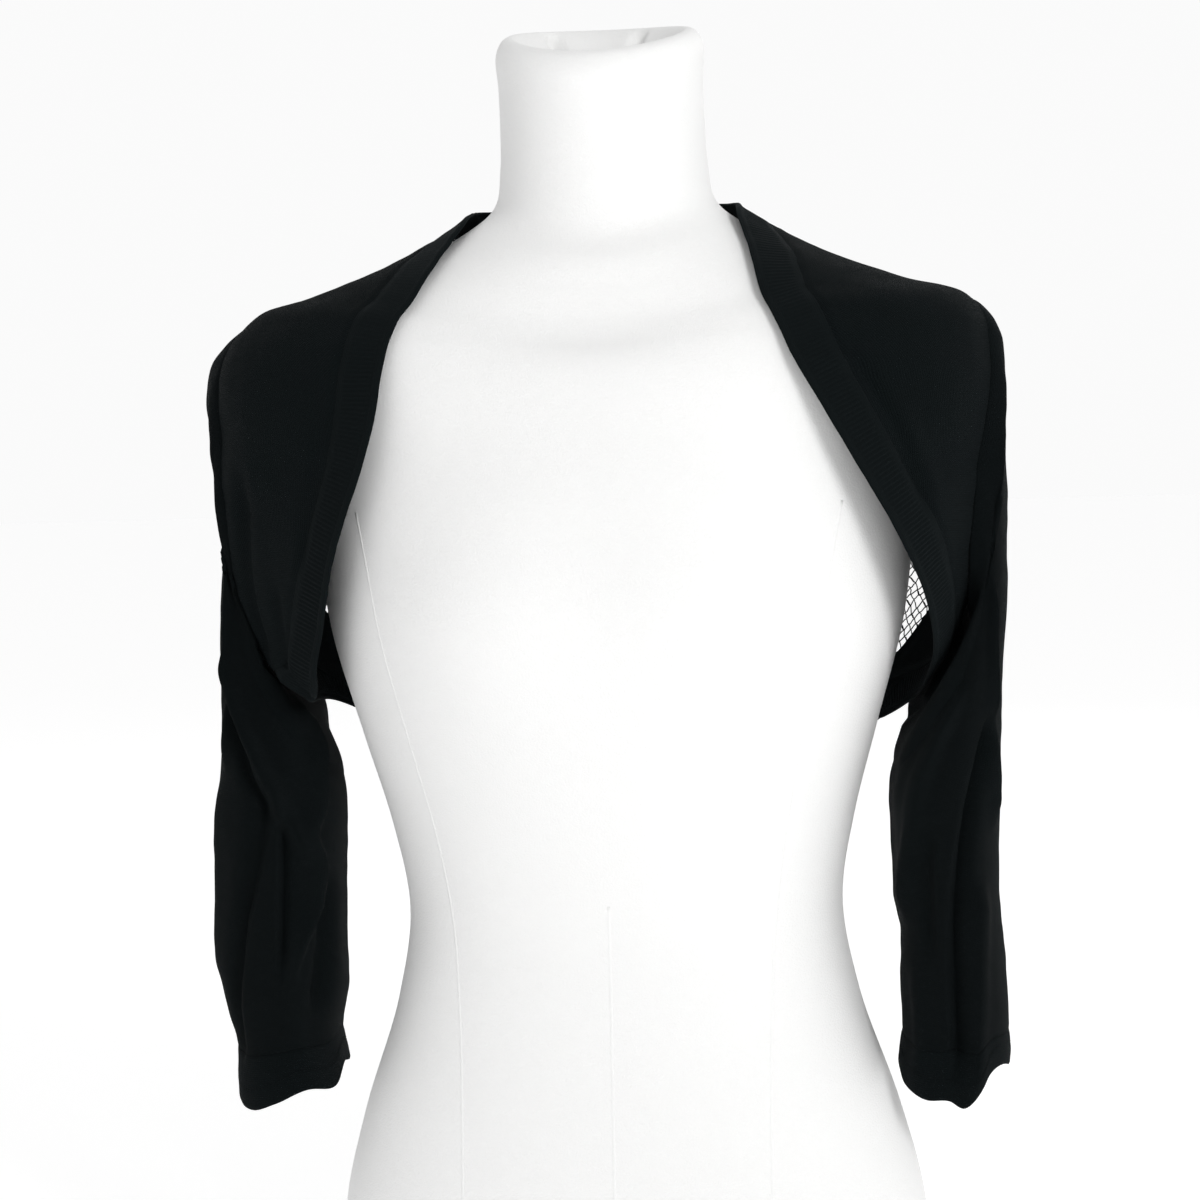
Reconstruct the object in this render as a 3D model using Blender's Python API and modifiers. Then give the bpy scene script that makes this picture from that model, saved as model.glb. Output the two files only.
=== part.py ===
"""Knitted shrug with a lace back, worn open over a limbless dress form.

The frame has +Z up, the front faces -Y, and the origin is on the floor under the form.
Tables are in millimetres and degrees. An angle round the figure is 0 at the right side
(+X), -90 at the front and 90 at the back. "Run" is the length up the figure's side: it
equals the height as far as RUN_FLAT, then follows the shoulder in to the neck.
Left and right are as seen from the front.
"""

from collections import namedtuple

import bpy
import numpy as np

MM = 0.001
CLOTH = 1.6  # wall of every knitted piece
SEAM = 0.5  # gap between two pieces that are sewn together
SLEEVE_LIFT = CLOTH + 0.4  # the sleeve's outer face starts this far off the body's inner one
BODY_CLEAR = 2 * CLOTH + 1.4  # the sleeve's outer face stays this far off the body's inner one
BAND_WIDTH = 24.0  # ribbed band round the opening
HEM_WIDTH = 17.0  # the same band at the middle of the back hem
RUN_FLAT = 560.0  # below this, rings round the figure are level
NECK_RUN = 746.0  # where the shoulders end and the neck begins

FRONT_STEPS = 22  # along a front's band seam, and along its armhole
SEAM_STEPS = 7  # along a shoulder seam or a side seam
BACK_ARM_STEPS = 10  # up the back half of an armhole
HALF_STEPS = 6  # from the middle of the back to a seam, along the nape and along the hem
BAND_ROWS = 2  # across the band
CAP_ROWS = 6  # from the armhole to the hanging tube of the sleeve
TUBE_ROWS = 9  # down the tube to the cuff
CUFF_ROWS = 3
FORM_COLUMNS = 40
FORM_ROWS = 30
BACK = 90.0  # angle of the middle of the back
SLOPE_STEP = 0.5  # either way, to read a slope of the cloth

KNIT_COLOUR = (0.012, 0.014, 0.016, 1.0)
LACE_COLOUR = (0.014, 0.015, 0.017, 1.0)
JERSEY_COLOUR = (0.83, 0.83, 0.84, 1.0)

# Height of each ring at the side, the front and the back of the figure.
RingHeight = namedtuple("RingHeight", "run side front back")
RING_HEIGHTS = (
    RingHeight(0, 0, 0, 0),
    RingHeight(300, 300, 300, 300),
    RingHeight(560, 560, 560, 560),
    RingHeight(580, 576, 565, 578),
    RingHeight(600, 588, 570, 590),
    RingHeight(640, 600, 581, 604),
    RingHeight(686, 616, 598, 619),
    RingHeight(726, 635, 617, 635),
    RingHeight(746, 647, 633, 649),
    RingHeight(766, 659, 648, 663),
)

# Sections of the worn cloth: half-width, depth in front and behind, and squareness.
Section = namedtuple("Section", "run width front back square")
CLOTH_SECTIONS = (
    Section(300, 150, 100, 97, 2.2),
    Section(325, 156, 106, 98, 2.2),
    Section(345, 162, 113, 98, 2.2),
    Section(362, 168, 118, 99, 2.2),
    Section(375, 175, 122, 100, 2.2),
    Section(390, 186, 126, 101, 2.2),
    Section(410, 195, 130, 102, 2.2),
    Section(436, 203, 132, 104, 2.2),
    Section(460, 206, 129, 106, 2.25),
    Section(490, 210, 122, 108, 2.3),
    Section(520, 215, 113, 109, 2.35),
    Section(545, 216, 106, 109, 2.4),
    Section(560, 215, 102, 108, 2.4),
    Section(580, 211, 97, 106, 2.4),
    Section(600, 202, 92, 102, 2.35),
    Section(640, 166, 86, 94, 2.3),
    Section(686, 123, 82, 85, 2.2),
    Section(726, 87, 77, 73, 2.1),
    Section(746, 71, 66, 64, 2.0),
    Section(766, 55, 55, 55, 2.0),
)

# Sections of the dress form, in the same rings as the cloth as far as its neck.
FORM_SECTIONS = (
    Section(0, 168, 93, 120, 2.3),
    Section(40, 170, 95, 124, 2.3),
    Section(85, 166, 94, 120, 2.3),
    Section(133, 154, 90, 106, 2.25),
    Section(200, 132, 84, 91, 2.2),
    Section(250, 124, 82, 84, 2.2),
    Section(300, 132, 92, 83, 2.2),
    Section(350, 146, 111, 87, 2.25),
    Section(405, 162, 124, 93, 2.25),
    Section(450, 169, 119, 98, 2.3),
    Section(500, 177, 107, 102, 2.45),
    Section(545, 190, 98, 102, 2.6),
    Section(560, 193, 95, 101, 2.6),
    Section(580, 193, 91, 99, 2.55),
    Section(600, 186, 86, 94, 2.5),
    Section(640, 154, 79, 86, 2.4),
    Section(686, 113, 74, 76, 2.25),
    Section(726, 78, 68, 64, 2.1),
    Section(746, 63, 59, 56, 2.0),
)
BUST_HEIGHT = 410.0
BUST_RISE = 7.0
BUST_REACH = 46.0  # up and down
BUST_TURN = 31.0  # degrees from the middle of the front to each side's peak
BUST_SPREAD = 19.0  # degrees

# Level rings above the shoulders: neck, soft rim and the dish inside it.
NeckRing = namedtuple("NeckRing", "height radius centre_y")
NECK_RINGS = (
    NeckRing(668, 58.5, -1),
    NeckRing(692, 57.5, -3),
    NeckRing(715, 57.5, -5),
    NeckRing(731, 58.5, -6),
    NeckRing(740, 55.5, -6),
    NeckRing(743, 50.0, -6),
    NeckRing(740, 44.5, -6),
    NeckRing(732, 36.0, -6),
    NeckRing(727, 22.0, -6),
)
NECK_TILT = 13.0  # the neck's top is this much lower in front than at its sides
NECK_TILT_FROM = 655.0
NECK_TILT_OVER = 60.0
NECK_RADIUS = 58.0
RIM_FROM = 725.0
RIM_DIP = 4.0  # and from RIM_FROM up it sinks by this much more between its two lobes

# The opening's edge on each side, from the nape down the front, under the arm and along
# the back hem.
EdgePoint = namedtuple("EdgePoint", "angle run")
EDGE = {
    "right": (
        EdgePoint(90, 746),
        EdgePoint(60, 746),
        EdgePoint(30, 746),
        EdgePoint(0, 743),
        EdgePoint(-17, 736),
        EdgePoint(-27, 721),
        EdgePoint(-34, 697),
        EdgePoint(-38.5, 660),
        EdgePoint(-40.5, 610),
        EdgePoint(-41, 560),
        EdgePoint(-38.5, 520),
        EdgePoint(-34.5, 485),
        EdgePoint(-28.5, 450),
        EdgePoint(-21.5, 420),
        EdgePoint(-14, 393),
        EdgePoint(-5, 374),
        EdgePoint(7, 360),
        EdgePoint(20, 345),
        EdgePoint(36, 328),
        EdgePoint(60, 318),
        EdgePoint(90, 315),
    ),
    "left": (
        EdgePoint(90, 746),
        EdgePoint(60, 746),
        EdgePoint(30, 746),
        EdgePoint(0, 743),
        EdgePoint(-17, 736),
        EdgePoint(-26, 720),
        EdgePoint(-32.5, 693),
        EdgePoint(-36, 655),
        EdgePoint(-37.5, 610),
        EdgePoint(-39.5, 560),
        EdgePoint(-41, 520),
        EdgePoint(-40, 485),
        EdgePoint(-36, 448),
        EdgePoint(-30.5, 412),
        EdgePoint(-23, 381),
        EdgePoint(-12, 371),
        EdgePoint(5, 366),
        EdgePoint(19, 351),
        EdgePoint(36, 332),
        EdgePoint(60, 319),
        EdgePoint(90, 315),
    ),
}
SHOULDER_EDGE_ANGLE = 0.0  # where the shoulder seam meets the opening
SIDE_EDGE_ANGLE = 18.0  # where the side seam meets the hem

# The armhole from the shoulder tip down the front to the side seam, then up the back.
ArmPoint = namedtuple("ArmPoint", "angle run")
ARM_FRONT = (
    ArmPoint(0, 598),
    ArmPoint(-4, 585),
    ArmPoint(-7.5, 562),
    ArmPoint(-10, 530),
    ArmPoint(-11.5, 495),
    ArmPoint(-12, 460),
    ArmPoint(-10.5, 435),
    ArmPoint(-6.5, 419),
    ArmPoint(0, 412),
    ArmPoint(6.5, 419),
    ArmPoint(10.5, 435),
)
ARM_BACK = (
    ArmPoint(10.5, 435),
    ArmPoint(12, 460),
    ArmPoint(12, 495),
    ArmPoint(10.5, 530),
    ArmPoint(8, 562),
    ArmPoint(4, 585),
    ArmPoint(0, 598),
)

# The hanging part of each sleeve: its outer and inner sides, and its depth each way.
SleeveRing = namedtuple("SleeveRing", "height outer inner front back")
SLEEVE_RINGS = {
    "right": (
        SleeveRing(140, 214, 152, 44, 44),
        SleeveRing(170, 216, 156, 43, 44),
        SleeveRing(200, 216, 156, 45, 45),
        SleeveRing(250, 213, 156, 47, 46),
        SleeveRing(283, 213, 155, 48, 47),
        SleeveRing(325, 215, 156, 49, 48),
        SleeveRing(350, 216, 167, 47, 47),
        SleeveRing(380, 217, 183, 43, 44),
        SleeveRing(414, 220, 192, 40, 42),
        SleeveRing(460, 221, 198, 42, 44),
        SleeveRing(520, 221, 202, 40, 42),
        SleeveRing(560, 219, 204, 36, 38),
    ),
    "left": (
        SleeveRing(140, 226, 164, 46, 45),
        SleeveRing(172, 228, 170, 44, 44),
        SleeveRing(205, 235, 165, 47, 46),
        SleeveRing(250, 235, 164, 49, 47),
        SleeveRing(288, 234, 162, 50, 48),
        SleeveRing(325, 232, 162, 50, 48),
        SleeveRing(350, 230, 170, 48, 47),
        SleeveRing(380, 229, 184, 44, 44),
        SleeveRing(414, 228, 194, 41, 42),
        SleeveRing(460, 224, 201, 42, 44),
        SleeveRing(520, 222, 206, 40, 42),
        SleeveRing(560, 232, 209, 36, 38),
    ),
}
TUBE_SQUARE = 2.3
CAP_TOP = 545.0  # height where the tube starts on its outer side
CAP_FOOT = 325.0  # and on its inner side
CAP_LEAN = 1.3
# Directions in which the cap leaves the armhole: outwards, forwards and up.
CAP_LEAVES_TOP = (1.0, 0.15, -0.45)
CAP_LEAVES_UNDERARM = (0.35, 0.15, -1.0)
CAP_LEAVE_PULL = {"right": 1.15, "left": 0.7}
CAP_ARRIVE_PULL = 0.9
CLEAR_BELOW = 405.0  # the sleeve is moved clear of the body's side under this height
HEM_DROP = 4.0  # it may come in again from this far below the body's hem
HEM_SLOPE = 1.1

# The cuff's seam is level at CUFF_LEVEL + CUFF_DEPTH, and follows the lower edge a little.
CUFF_DEPTH = 25.0
CUFF_LEVEL = 148.0
CUFF_FOLLOWS = 0.35
CUFF_FLARE = 0.05
CUFF_FLARE_BY = 0.7  # share of the cuff's depth by which it has flared

# Height of each cuff's lower edge round the sleeve: 0 is its outer side, 90 its front.
HemPoint = namedtuple("HemPoint", "turn height")
HEMS = {
    "right": (
        HemPoint(0, 156),
        HemPoint(55, 157),
        HemPoint(76, 141),
        HemPoint(92, 145),
        HemPoint(115, 145),
        HemPoint(145, 151),
        HemPoint(180, 159),
        HemPoint(225, 150),
        HemPoint(270, 142),
        HemPoint(315, 147),
        HemPoint(360, 156),
    ),
    "left": (
        HemPoint(0, 154),
        HemPoint(30, 142),
        HemPoint(55, 139),
        HemPoint(85, 144),
        HemPoint(120, 151),
        HemPoint(150, 149),
        HemPoint(180, 158),
        HemPoint(225, 151),
        HemPoint(280, 142),
        HemPoint(325, 149),
        HemPoint(360, 154),
    ),
}

# Folds down the sleeves. A fold runs from one height and turn to another; a positive
# rise stands out, a negative one is a crease. Turns are as for the cuffs.
Fold = namedtuple("Fold", "top top_turn foot foot_turn rise reach")
SLEEVE_FOLDS = {
    "right": (
        Fold(360, 66, 172, 62, -9, 7),
        Fold(345, 45, 150, 42, 5, 8),
        Fold(330, 118, 230, 132, 4, 10),
        Fold(420, 250, 200, 275, -7, 8),
        Fold(390, 215, 240, 205, 4, 9),
        Fold(400, 325, 210, 318, -5, 8),
    ),
    "left": (
        Fold(400, 28, 275, 88, 7, 9),
        Fold(345, 48, 165, 34, -6, 7),
        Fold(300, 72, 190, 66, -7, 7),
        Fold(330, 118, 240, 104, 5, 9),
        Fold(420, 240, 210, 262, -7, 8),
        Fold(380, 300, 230, 318, 5, 9),
    ),
}
FOLD_FADE = 30.0  # a fold dies out over this height at each end
MM_PER_DEGREE = 0.68  # round a sleeve

# Folds in the fronts, their bands and the tops of the sleeves, from one angle and run to
# another. The left front stands off the body beside its armhole.
Drape = namedtuple("Drape", "top_angle top foot_angle foot rise reach")
FRONT_DRAPES = {
    "right": (Drape(-31, 548, -20, 485, -3.0, 9), Drape(-17, 560, -18, 450, 2.5, 12)),
    "left": (
        Drape(-14, 575, -14, 380, 8.0, 13),
        Drape(-12, 505, -13, 375, 5.0, 11),
        Drape(-27, 505, -25, 400, -4.5, 8),
        Drape(-18, 480, -17, 400, -3.0, 6),
    ),
}
BACK_DRAPES = (
    Drape(58, 560, 66, 380, -3.0, 16),
    Drape(116, 520, 108, 380, -3.0, 18),
)
DRAPE_ENDS = 4.0  # a drape fades in, and out again, over about 1 / DRAPE_ENDS of its length

SIDES = {"right": 1.0, "left": -1.0}


def curve_at(knots, values, at):
    """A smooth curve through (knots, values), read at each value of at."""
    knots = np.asarray(knots, float)
    values = np.asarray(values, float)
    at = np.clip(np.asarray(at, float), knots[0], knots[-1])
    slopes = np.gradient(values, knots)
    i = np.clip(np.searchsorted(knots, at, side="right") - 1, 0, len(knots) - 2)
    width = knots[i + 1] - knots[i]
    t = (at - knots[i]) / width
    a, b = values[i], values[i + 1]
    ma, mb = slopes[i] * width, slopes[i + 1] * width
    return (
        a * (2 * t**3 - 3 * t**2 + 1)
        + b * (3 * t**2 - 2 * t**3)
        + ma * (t**3 - 2 * t**2 + t)
        + mb * (t**3 - t**2)
    )


def column_at(rows, column, at):
    """One column of a table, read smoothly along the table's first column."""
    return curve_at([row[0] for row in rows], [getattr(row, column) for row in rows], at)


def sections_point(sections, angle, run):
    """Point of a lofted figure at an angle round it and a run up it."""
    angle, run = np.broadcast_arrays(np.asarray(angle, float), np.asarray(run, float))
    across = np.cos(np.radians(angle))
    along = np.sin(np.radians(angle))
    ahead = along < 0
    depth = np.where(ahead, column_at(sections, "front", run), column_at(sections, "back", run))
    square = column_at(sections, "square", run)
    width = column_at(sections, "width", run)
    reach = (np.abs(across / width) ** square + np.abs(along / depth) ** square) ** (-1 / square)
    side = column_at(RING_HEIGHTS, "side", run)
    far = np.where(
        ahead, column_at(RING_HEIGHTS, "front", run), column_at(RING_HEIGHTS, "back", run)
    )
    height = side + (far - side) * along**2
    return np.stack([reach * across, reach * along, height], axis=-1)


def drape_rise(drapes, angle, run):
    """How far folds lift the cloth at an angle and a run."""
    rise = np.zeros(np.broadcast(angle, run).shape)
    for fold in drapes:
        part = (fold.top - run) / (fold.top - fold.foot)
        middle = fold.top_angle + (fold.foot_angle - fold.top_angle) * np.clip(part, 0, 1)
        away = (angle - middle) / fold.reach
        fade_in = np.clip(part * DRAPE_ENDS + 0.5, 0, 1)
        ends = fade_in * np.clip((1 - part) * DRAPE_ENDS + 0.5, 0, 1)
        rise = rise + fold.rise * np.exp(-(away**2)) * ends**2 * (3 - 2 * ends)
    return rise


def cloth_point(angle, run, drapes=()):
    """Point of the worn cloth's inner face."""
    point = sections_point(CLOTH_SECTIONS, angle, run)
    if not drapes:
        return point
    return point + drape_rise(drapes, angle, run)[..., None] * cloth_normal(angle, run)


def cloth_slopes(angle, run):
    """How the cloth's plain form moves for one degree round it and one millimetre up it."""
    step = SLOPE_STEP
    turn = cloth_point(angle + step, run) - cloth_point(angle - step, run)
    rise = cloth_point(angle, run + step) - cloth_point(angle, run - step)
    return turn / (2 * step), rise / (2 * step)


def cloth_normal(angle, run):
    """Outward normal of the cloth's plain form."""
    normal = np.cross(*cloth_slopes(angle, run))
    return normal / np.linalg.norm(normal, axis=-1, keepdims=True)


def smooth_route(points, steps_each=24):
    """A table's route as many (angle, run) pairs."""
    knots = np.arange(len(points))
    at = np.linspace(0, len(points) - 1, (len(points) - 1) * steps_each + 1)
    return np.stack(
        [curve_at(knots, [p.angle for p in points], at), curve_at(knots, [p.run for p in points], at)],
        axis=-1,
    )


def spaced(route, steps):
    """The route divided into equal lengths on the cloth."""
    points = cloth_point(route[:, 0], route[:, 1])
    length = np.concatenate([[0], np.cumsum(np.linalg.norm(np.diff(points, axis=0), axis=1))])
    at = np.linspace(0, length[-1], steps + 1)
    return np.stack([np.interp(at, length, route[:, 0]), np.interp(at, length, route[:, 1])], axis=-1)


def set_in(route, distance):
    """The route moved sideways on the cloth by each point's distance, away from the opening."""
    angle, run = route[:, 0], route[:, 1]
    points = cloth_point(angle, run)
    tangent = np.gradient(points, axis=0)
    tangent /= np.linalg.norm(tangent, axis=1, keepdims=True)
    aside = np.cross(cloth_normal(angle, run), tangent)
    turn, rise = cloth_slopes(angle, run)
    moved = []
    for k in range(len(route)):
        share, *_ = np.linalg.lstsq(np.stack([turn[k], rise[k]], axis=1), aside[k], rcond=None)
        moved.append(route[k] + share * distance[k])
    return np.array(moved)


def edge_stations(side):
    """Stations along the opening's edge, evenly spaced along the nape, the front and the hem."""
    route = smooth_route(EDGE[side])
    shoulder = int(np.argmax(route[:, 0] <= SHOULDER_EDGE_ANGLE))
    lower = np.arange(len(route)) > len(route) // 2
    hem = int(np.argmax(lower & (route[:, 0] >= SIDE_EDGE_ANGLE)))
    nape = spaced(route[: shoulder + 1], HALF_STEPS)
    front = spaced(route[shoulder : hem + 1], FRONT_STEPS)
    back = spaced(route[hem:], HALF_STEPS)
    return np.concatenate([nape, front[1:], back[1:]])


def across_back(line):
    """A route on one side, in the other side's angles."""
    return np.stack([2 * BACK - line[..., 0], line[..., 1]], axis=-1)


def band_lines(side):
    """The band's outer edge and its seam line, station by station."""
    edge = edge_stations(side)
    # Two stations past the middle of the back keep the two sides' bands in line there.
    before = across_back(edge[1:3])[::-1]
    after = across_back(edge[-3:-1])[::-1]
    whole = np.concatenate([before, edge, after])
    along_hem = np.arange(-2, len(edge) + 2) - HALF_STEPS - FRONT_STEPS
    narrowing = (BAND_WIDTH - HEM_WIDTH) * np.clip(along_hem / HALF_STEPS, 0, 1)
    seam = set_in(whole, BAND_WIDTH - narrowing)[2:-2]
    seam[[0, -1], 0] = BACK
    return edge, seam


def ruled(first, second, rows):
    """Grid of (angle, run) between two routes."""
    shares = np.linspace(0, 1, rows + 1)[:, None, None]
    return first[None] * (1 - shares) + second[None] * shares


def coons(low, high, start, end):
    """Grid of (angle, run) inside four routes that meet at their corners."""
    along = np.linspace(0, 1, len(low))[None, :, None]
    up = np.linspace(0, 1, len(start))[:, None, None]
    sides = start[:, None] * (1 - along) + end[:, None] * along
    ends = low[None] * (1 - up) + high[None] * up
    corners = (low[0] * (1 - along) + low[-1] * along) * (1 - up) + (
        high[0] * (1 - along) + high[-1] * along
    ) * up
    return sides + ends - corners


def shrink(grid, gap):
    """The grid of a panel pulled in all round by half a seam's gap."""
    grid = grid.copy()
    points = cloth_point(grid[..., 0], grid[..., 1])
    rows, columns = grid.shape[:2]
    for line, inner in ((0, 1), (rows - 1, rows - 2)):
        length = np.linalg.norm(points[line] - points[inner], axis=-1)[:, None]
        grid[line] = grid[line] + (grid[inner] - grid[line]) * (gap / length)
    points = cloth_point(grid[..., 0], grid[..., 1])
    for line, inner in ((0, 1), (columns - 1, columns - 2)):
        length = np.linalg.norm(points[:, line] - points[:, inner], axis=-1)[:, None]
        grid[:, line] = grid[:, line] + (grid[:, inner] - grid[:, line]) * (gap / length)
    return grid


def band_grid(edge, seam):
    """The band between its outer edge and its seam line."""
    return shrink(ruled(edge, seam, BAND_ROWS), SEAM / 2)


def front_band_grid(side):
    """The band down one front, from the shoulder seam to the side seam."""
    edge, seam = band_lines(side)
    part = slice(HALF_STEPS, HALF_STEPS + FRONT_STEPS + 1)
    return band_grid(edge[part], seam[part])


def neck_band_grid():
    """The band behind the neck, from one shoulder seam to the other."""
    lines = []
    for right, left in zip(band_lines("right"), band_lines("left")):
        lines.append(np.concatenate([right[HALF_STEPS::-1], across_back(left[1 : HALF_STEPS + 1])]))
    return band_grid(*lines)


def hem_band_grid():
    """The band along the back's hem, from one side seam to the other."""
    first = HALF_STEPS + FRONT_STEPS
    lines = []
    for right, left in zip(band_lines("right"), band_lines("left")):
        lines.append(np.concatenate([right[first:], across_back(left[first:-1])[::-1]]))
    return band_grid(*lines)


def armhole():
    """Stations down the front of the armhole to the side seam, then up its back."""
    front = spaced(smooth_route(ARM_FRONT), FRONT_STEPS)
    back = spaced(smooth_route(ARM_BACK), BACK_ARM_STEPS)
    return front, back


def line_between(start, end, steps):
    """A straight seam in (angle, run)."""
    return start[None] + (end - start)[None] * np.linspace(0, 1, steps + 1)[:, None]


def front_grid(side):
    """A front: the band seam below, the armhole above, the shoulder and side seams at its ends."""
    _, seam = band_lines(side)
    low = seam[HALF_STEPS : HALF_STEPS + FRONT_STEPS + 1]
    high, _ = armhole()
    start = line_between(low[0], high[0], SEAM_STEPS)
    end = line_between(low[-1], high[-1], SEAM_STEPS)
    return shrink(coons(low, high, start, end), SEAM / 2)


def back_side_line(side):
    """The back's edge on one side, from the hem band up to the neck band."""
    _, seam = band_lines(side)
    front_arm, back_arm = armhole()
    hem_corner = seam[HALF_STEPS + FRONT_STEPS]
    neck_corner = seam[HALF_STEPS]
    side_seam = line_between(hem_corner, front_arm[-1], SEAM_STEPS)
    shoulder = line_between(back_arm[-1], neck_corner, SEAM_STEPS)
    return np.concatenate([side_seam, back_arm[1:], shoulder[1:]])


def back_grid():
    """The back: the hem band below, the nape band above, seams and armholes at its sides."""
    right = back_side_line("right")
    left = across_back(back_side_line("left"))
    _, right_seam = band_lines("right")
    _, left_seam = band_lines("left")
    hem_right = right_seam[HALF_STEPS + FRONT_STEPS :]
    hem_left = across_back(left_seam[HALF_STEPS + FRONT_STEPS :])[::-1]
    nape_right = right_seam[: HALF_STEPS + 1][::-1]
    nape_left = across_back(left_seam[: HALF_STEPS + 1])
    low = np.concatenate([hem_right, hem_left[1:]])
    high = np.concatenate([nape_right, nape_left[1:]])
    return shrink(coons(low, high, right, left), SEAM / 2)


def edge_height(side, angle):
    """Height of the opening's edge under the arm, at an angle."""
    route = smooth_route(EDGE[side])
    lower = route[len(route) // 2 :]
    order = np.argsort(lower[:, 0])
    return np.interp(angle, lower[order, 0], lower[order, 1])


def keep_clear(points, side):
    """Sleeve points moved out where they would meet the body's side."""
    angle = np.degrees(np.arctan2(points[..., 1], points[..., 0]))
    reach = np.hypot(points[..., 0], points[..., 1])
    edge = edge_height(side, angle)
    level = np.clip(points[..., 2], edge, RUN_FLAT)
    body = cloth_point(angle, level, FRONT_DRAPES[side])
    limit = np.hypot(body[..., 0], body[..., 1]) + BODY_CLEAR
    limit = limit - np.maximum(edge - points[..., 2] - HEM_DROP, 0) * HEM_SLOPE
    near = (points[..., 2] < CLEAR_BELOW) & (reach < limit)
    scale = np.where(near, limit / reach, 1.0)
    return points * np.stack([scale, scale, np.ones_like(scale)], axis=-1)


def tube_point(side, turn, height):
    """Point of the sleeve's plain hanging tube. Turn 0 is its outer side, 90 its front."""
    rings = SLEEVE_RINGS[side]
    outer = column_at(rings, "outer", height)
    inner = column_at(rings, "inner", height)
    across = np.cos(np.radians(turn))
    along = np.sin(np.radians(turn))
    depth = np.where(along > 0, column_at(rings, "front", height), column_at(rings, "back", height))
    width = (outer - inner) / 2
    reach = (np.abs(across) ** TUBE_SQUARE + np.abs(along) ** TUBE_SQUARE) ** (-1 / TUBE_SQUARE)
    x = (outer + inner) / 2 + width * reach * across
    return np.stack([x, -depth * reach * along, height + 0 * x], axis=-1)


def fold_rise(side, turn, height):
    """How far folds lift a sleeve at a turn round it and a height."""
    rise = np.zeros(np.broadcast(turn, height).shape)
    for fold in SLEEVE_FOLDS[side]:
        part = np.clip((fold.top - height) / (fold.top - fold.foot), 0, 1)
        middle = fold.top_turn + (fold.foot_turn - fold.top_turn) * part
        away = ((turn - middle + 180) % 360 - 180) * MM_PER_DEGREE / fold.reach
        fade = np.clip((fold.top - height) / FOLD_FADE, 0, 1)
        fade = fade * np.clip((height - fold.foot) / FOLD_FADE + 0.5, 0, 1)
        rise = rise + fold.rise * np.exp(-(away**2)) * fade**2 * (3 - 2 * fade)
    return rise


def folded_tube(side, turn, height):
    """Point of the sleeve's hanging tube with its folds."""
    plain = tube_point(side, turn, height)
    turned = tube_point(side, turn + 1.0, height) - tube_point(side, turn - 1.0, height)
    outward = np.stack([-turned[..., 1], turned[..., 0], 0 * turned[..., 2]], axis=-1)
    outward /= np.linalg.norm(outward, axis=-1, keepdims=True)
    return plain + outward * fold_rise(side, turn, height)[..., None]


def cap_height(turn):
    """Height where the sleeve's cap becomes its hanging tube."""
    share = (1 + np.cos(np.radians(turn))) / 2
    return CAP_FOOT + (CAP_TOP - CAP_FOOT) * share**CAP_LEAN


def hem_height(side, turn):
    """Height of the cuff's lower edge."""
    return column_at(HEMS[side], "height", np.mod(turn, 360))


def cuff_seam(side, turn):
    """Height of the seam between sleeve and cuff."""
    wave = (hem_height(side, turn) - CUFF_LEVEL) * CUFF_FOLLOWS
    return CUFF_LEVEL + CUFF_DEPTH + wave


def sleeve_stations(side):
    """Armhole points on the sleeve's outer face, and the turn of the tube that each runs down to."""
    front, back = armhole()
    loop = np.concatenate([front, back[1:-1]])
    points = cloth_point(loop[:, 0], loop[:, 1], FRONT_DRAPES[side])
    under = int(np.argmin(points[:, 2]))
    down = np.linspace(0, 180, under + 1)
    up = np.linspace(180, 360, len(points) - under + 1)[1:-1]
    lifted = points + cloth_normal(loop[:, 0], loop[:, 1]) * SLEEVE_LIFT
    return lifted, np.concatenate([down, up])


def sleeve_grid(side):
    """Outer face of a sleeve, row by row from the armhole to the cuff seam."""
    start, turn = sleeve_stations(side)
    top = cap_height(turn)
    end = tube_point(side, turn, top)
    share = (1 + np.cos(np.radians(turn))) / 2
    away = np.outer(share, CAP_LEAVES_TOP) + np.outer(1 - share, CAP_LEAVES_UNDERARM)
    away[:, 1] *= np.sin(np.radians(turn))
    span = np.linalg.norm(end - start, axis=1)[:, None]
    leave = away / np.linalg.norm(away, axis=1, keepdims=True) * span * CAP_LEAVE_PULL[side]
    arrive = np.array([0.0, 0.0, -1.0]) * span * CAP_ARRIVE_PULL
    rows = []
    for t in np.linspace(0, 1, CAP_ROWS + 1)[:-1]:
        rows.append(
            start * (2 * t**3 - 3 * t**2 + 1)
            + end * (3 * t**2 - 2 * t**3)
            + leave * (t**3 - 2 * t**2 + t)
            + arrive * (t**3 - t**2)
        )
    foot = cuff_seam(side, turn) + SEAM / 2
    for t in np.linspace(0, 1, TUBE_ROWS + 1):
        rows.append(folded_tube(side, turn, top + (foot - top) * t))
    grid = np.array(rows)
    grid[1:] = keep_clear(grid[1:], side)
    return grid


def cuff_grid(side):
    """Outer face of a cuff, from its seam to its wavy lower edge, flared a little."""
    _, turn = sleeve_stations(side)
    seam = cuff_seam(side, turn) - SEAM / 2
    hem = hem_height(side, turn)
    rows = []
    for t in np.linspace(0, 1, CUFF_ROWS + 1):
        ring = folded_tube(side, turn, seam + (hem - seam) * t)
        middle = ring.mean(axis=0)
        flare = 1 + CUFF_FLARE * np.sin(np.pi / 2 * min(t / CUFF_FLARE_BY, 1))
        ring[:, :2] = middle[:2] + (ring[:, :2] - middle[:2]) * flare
        rows.append(ring)
    return np.array(rows)


def paint(name, colour, roughness):
    """A plain Principled material."""
    material = bpy.data.materials.new(name)
    material.use_nodes = True
    shader = material.node_tree.nodes["Principled BSDF"]
    shader.inputs["Base Color"].default_value = colour
    shader.inputs["Roughness"].default_value = roughness
    shader.inputs["Metallic"].default_value = 0.0
    return material


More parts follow.
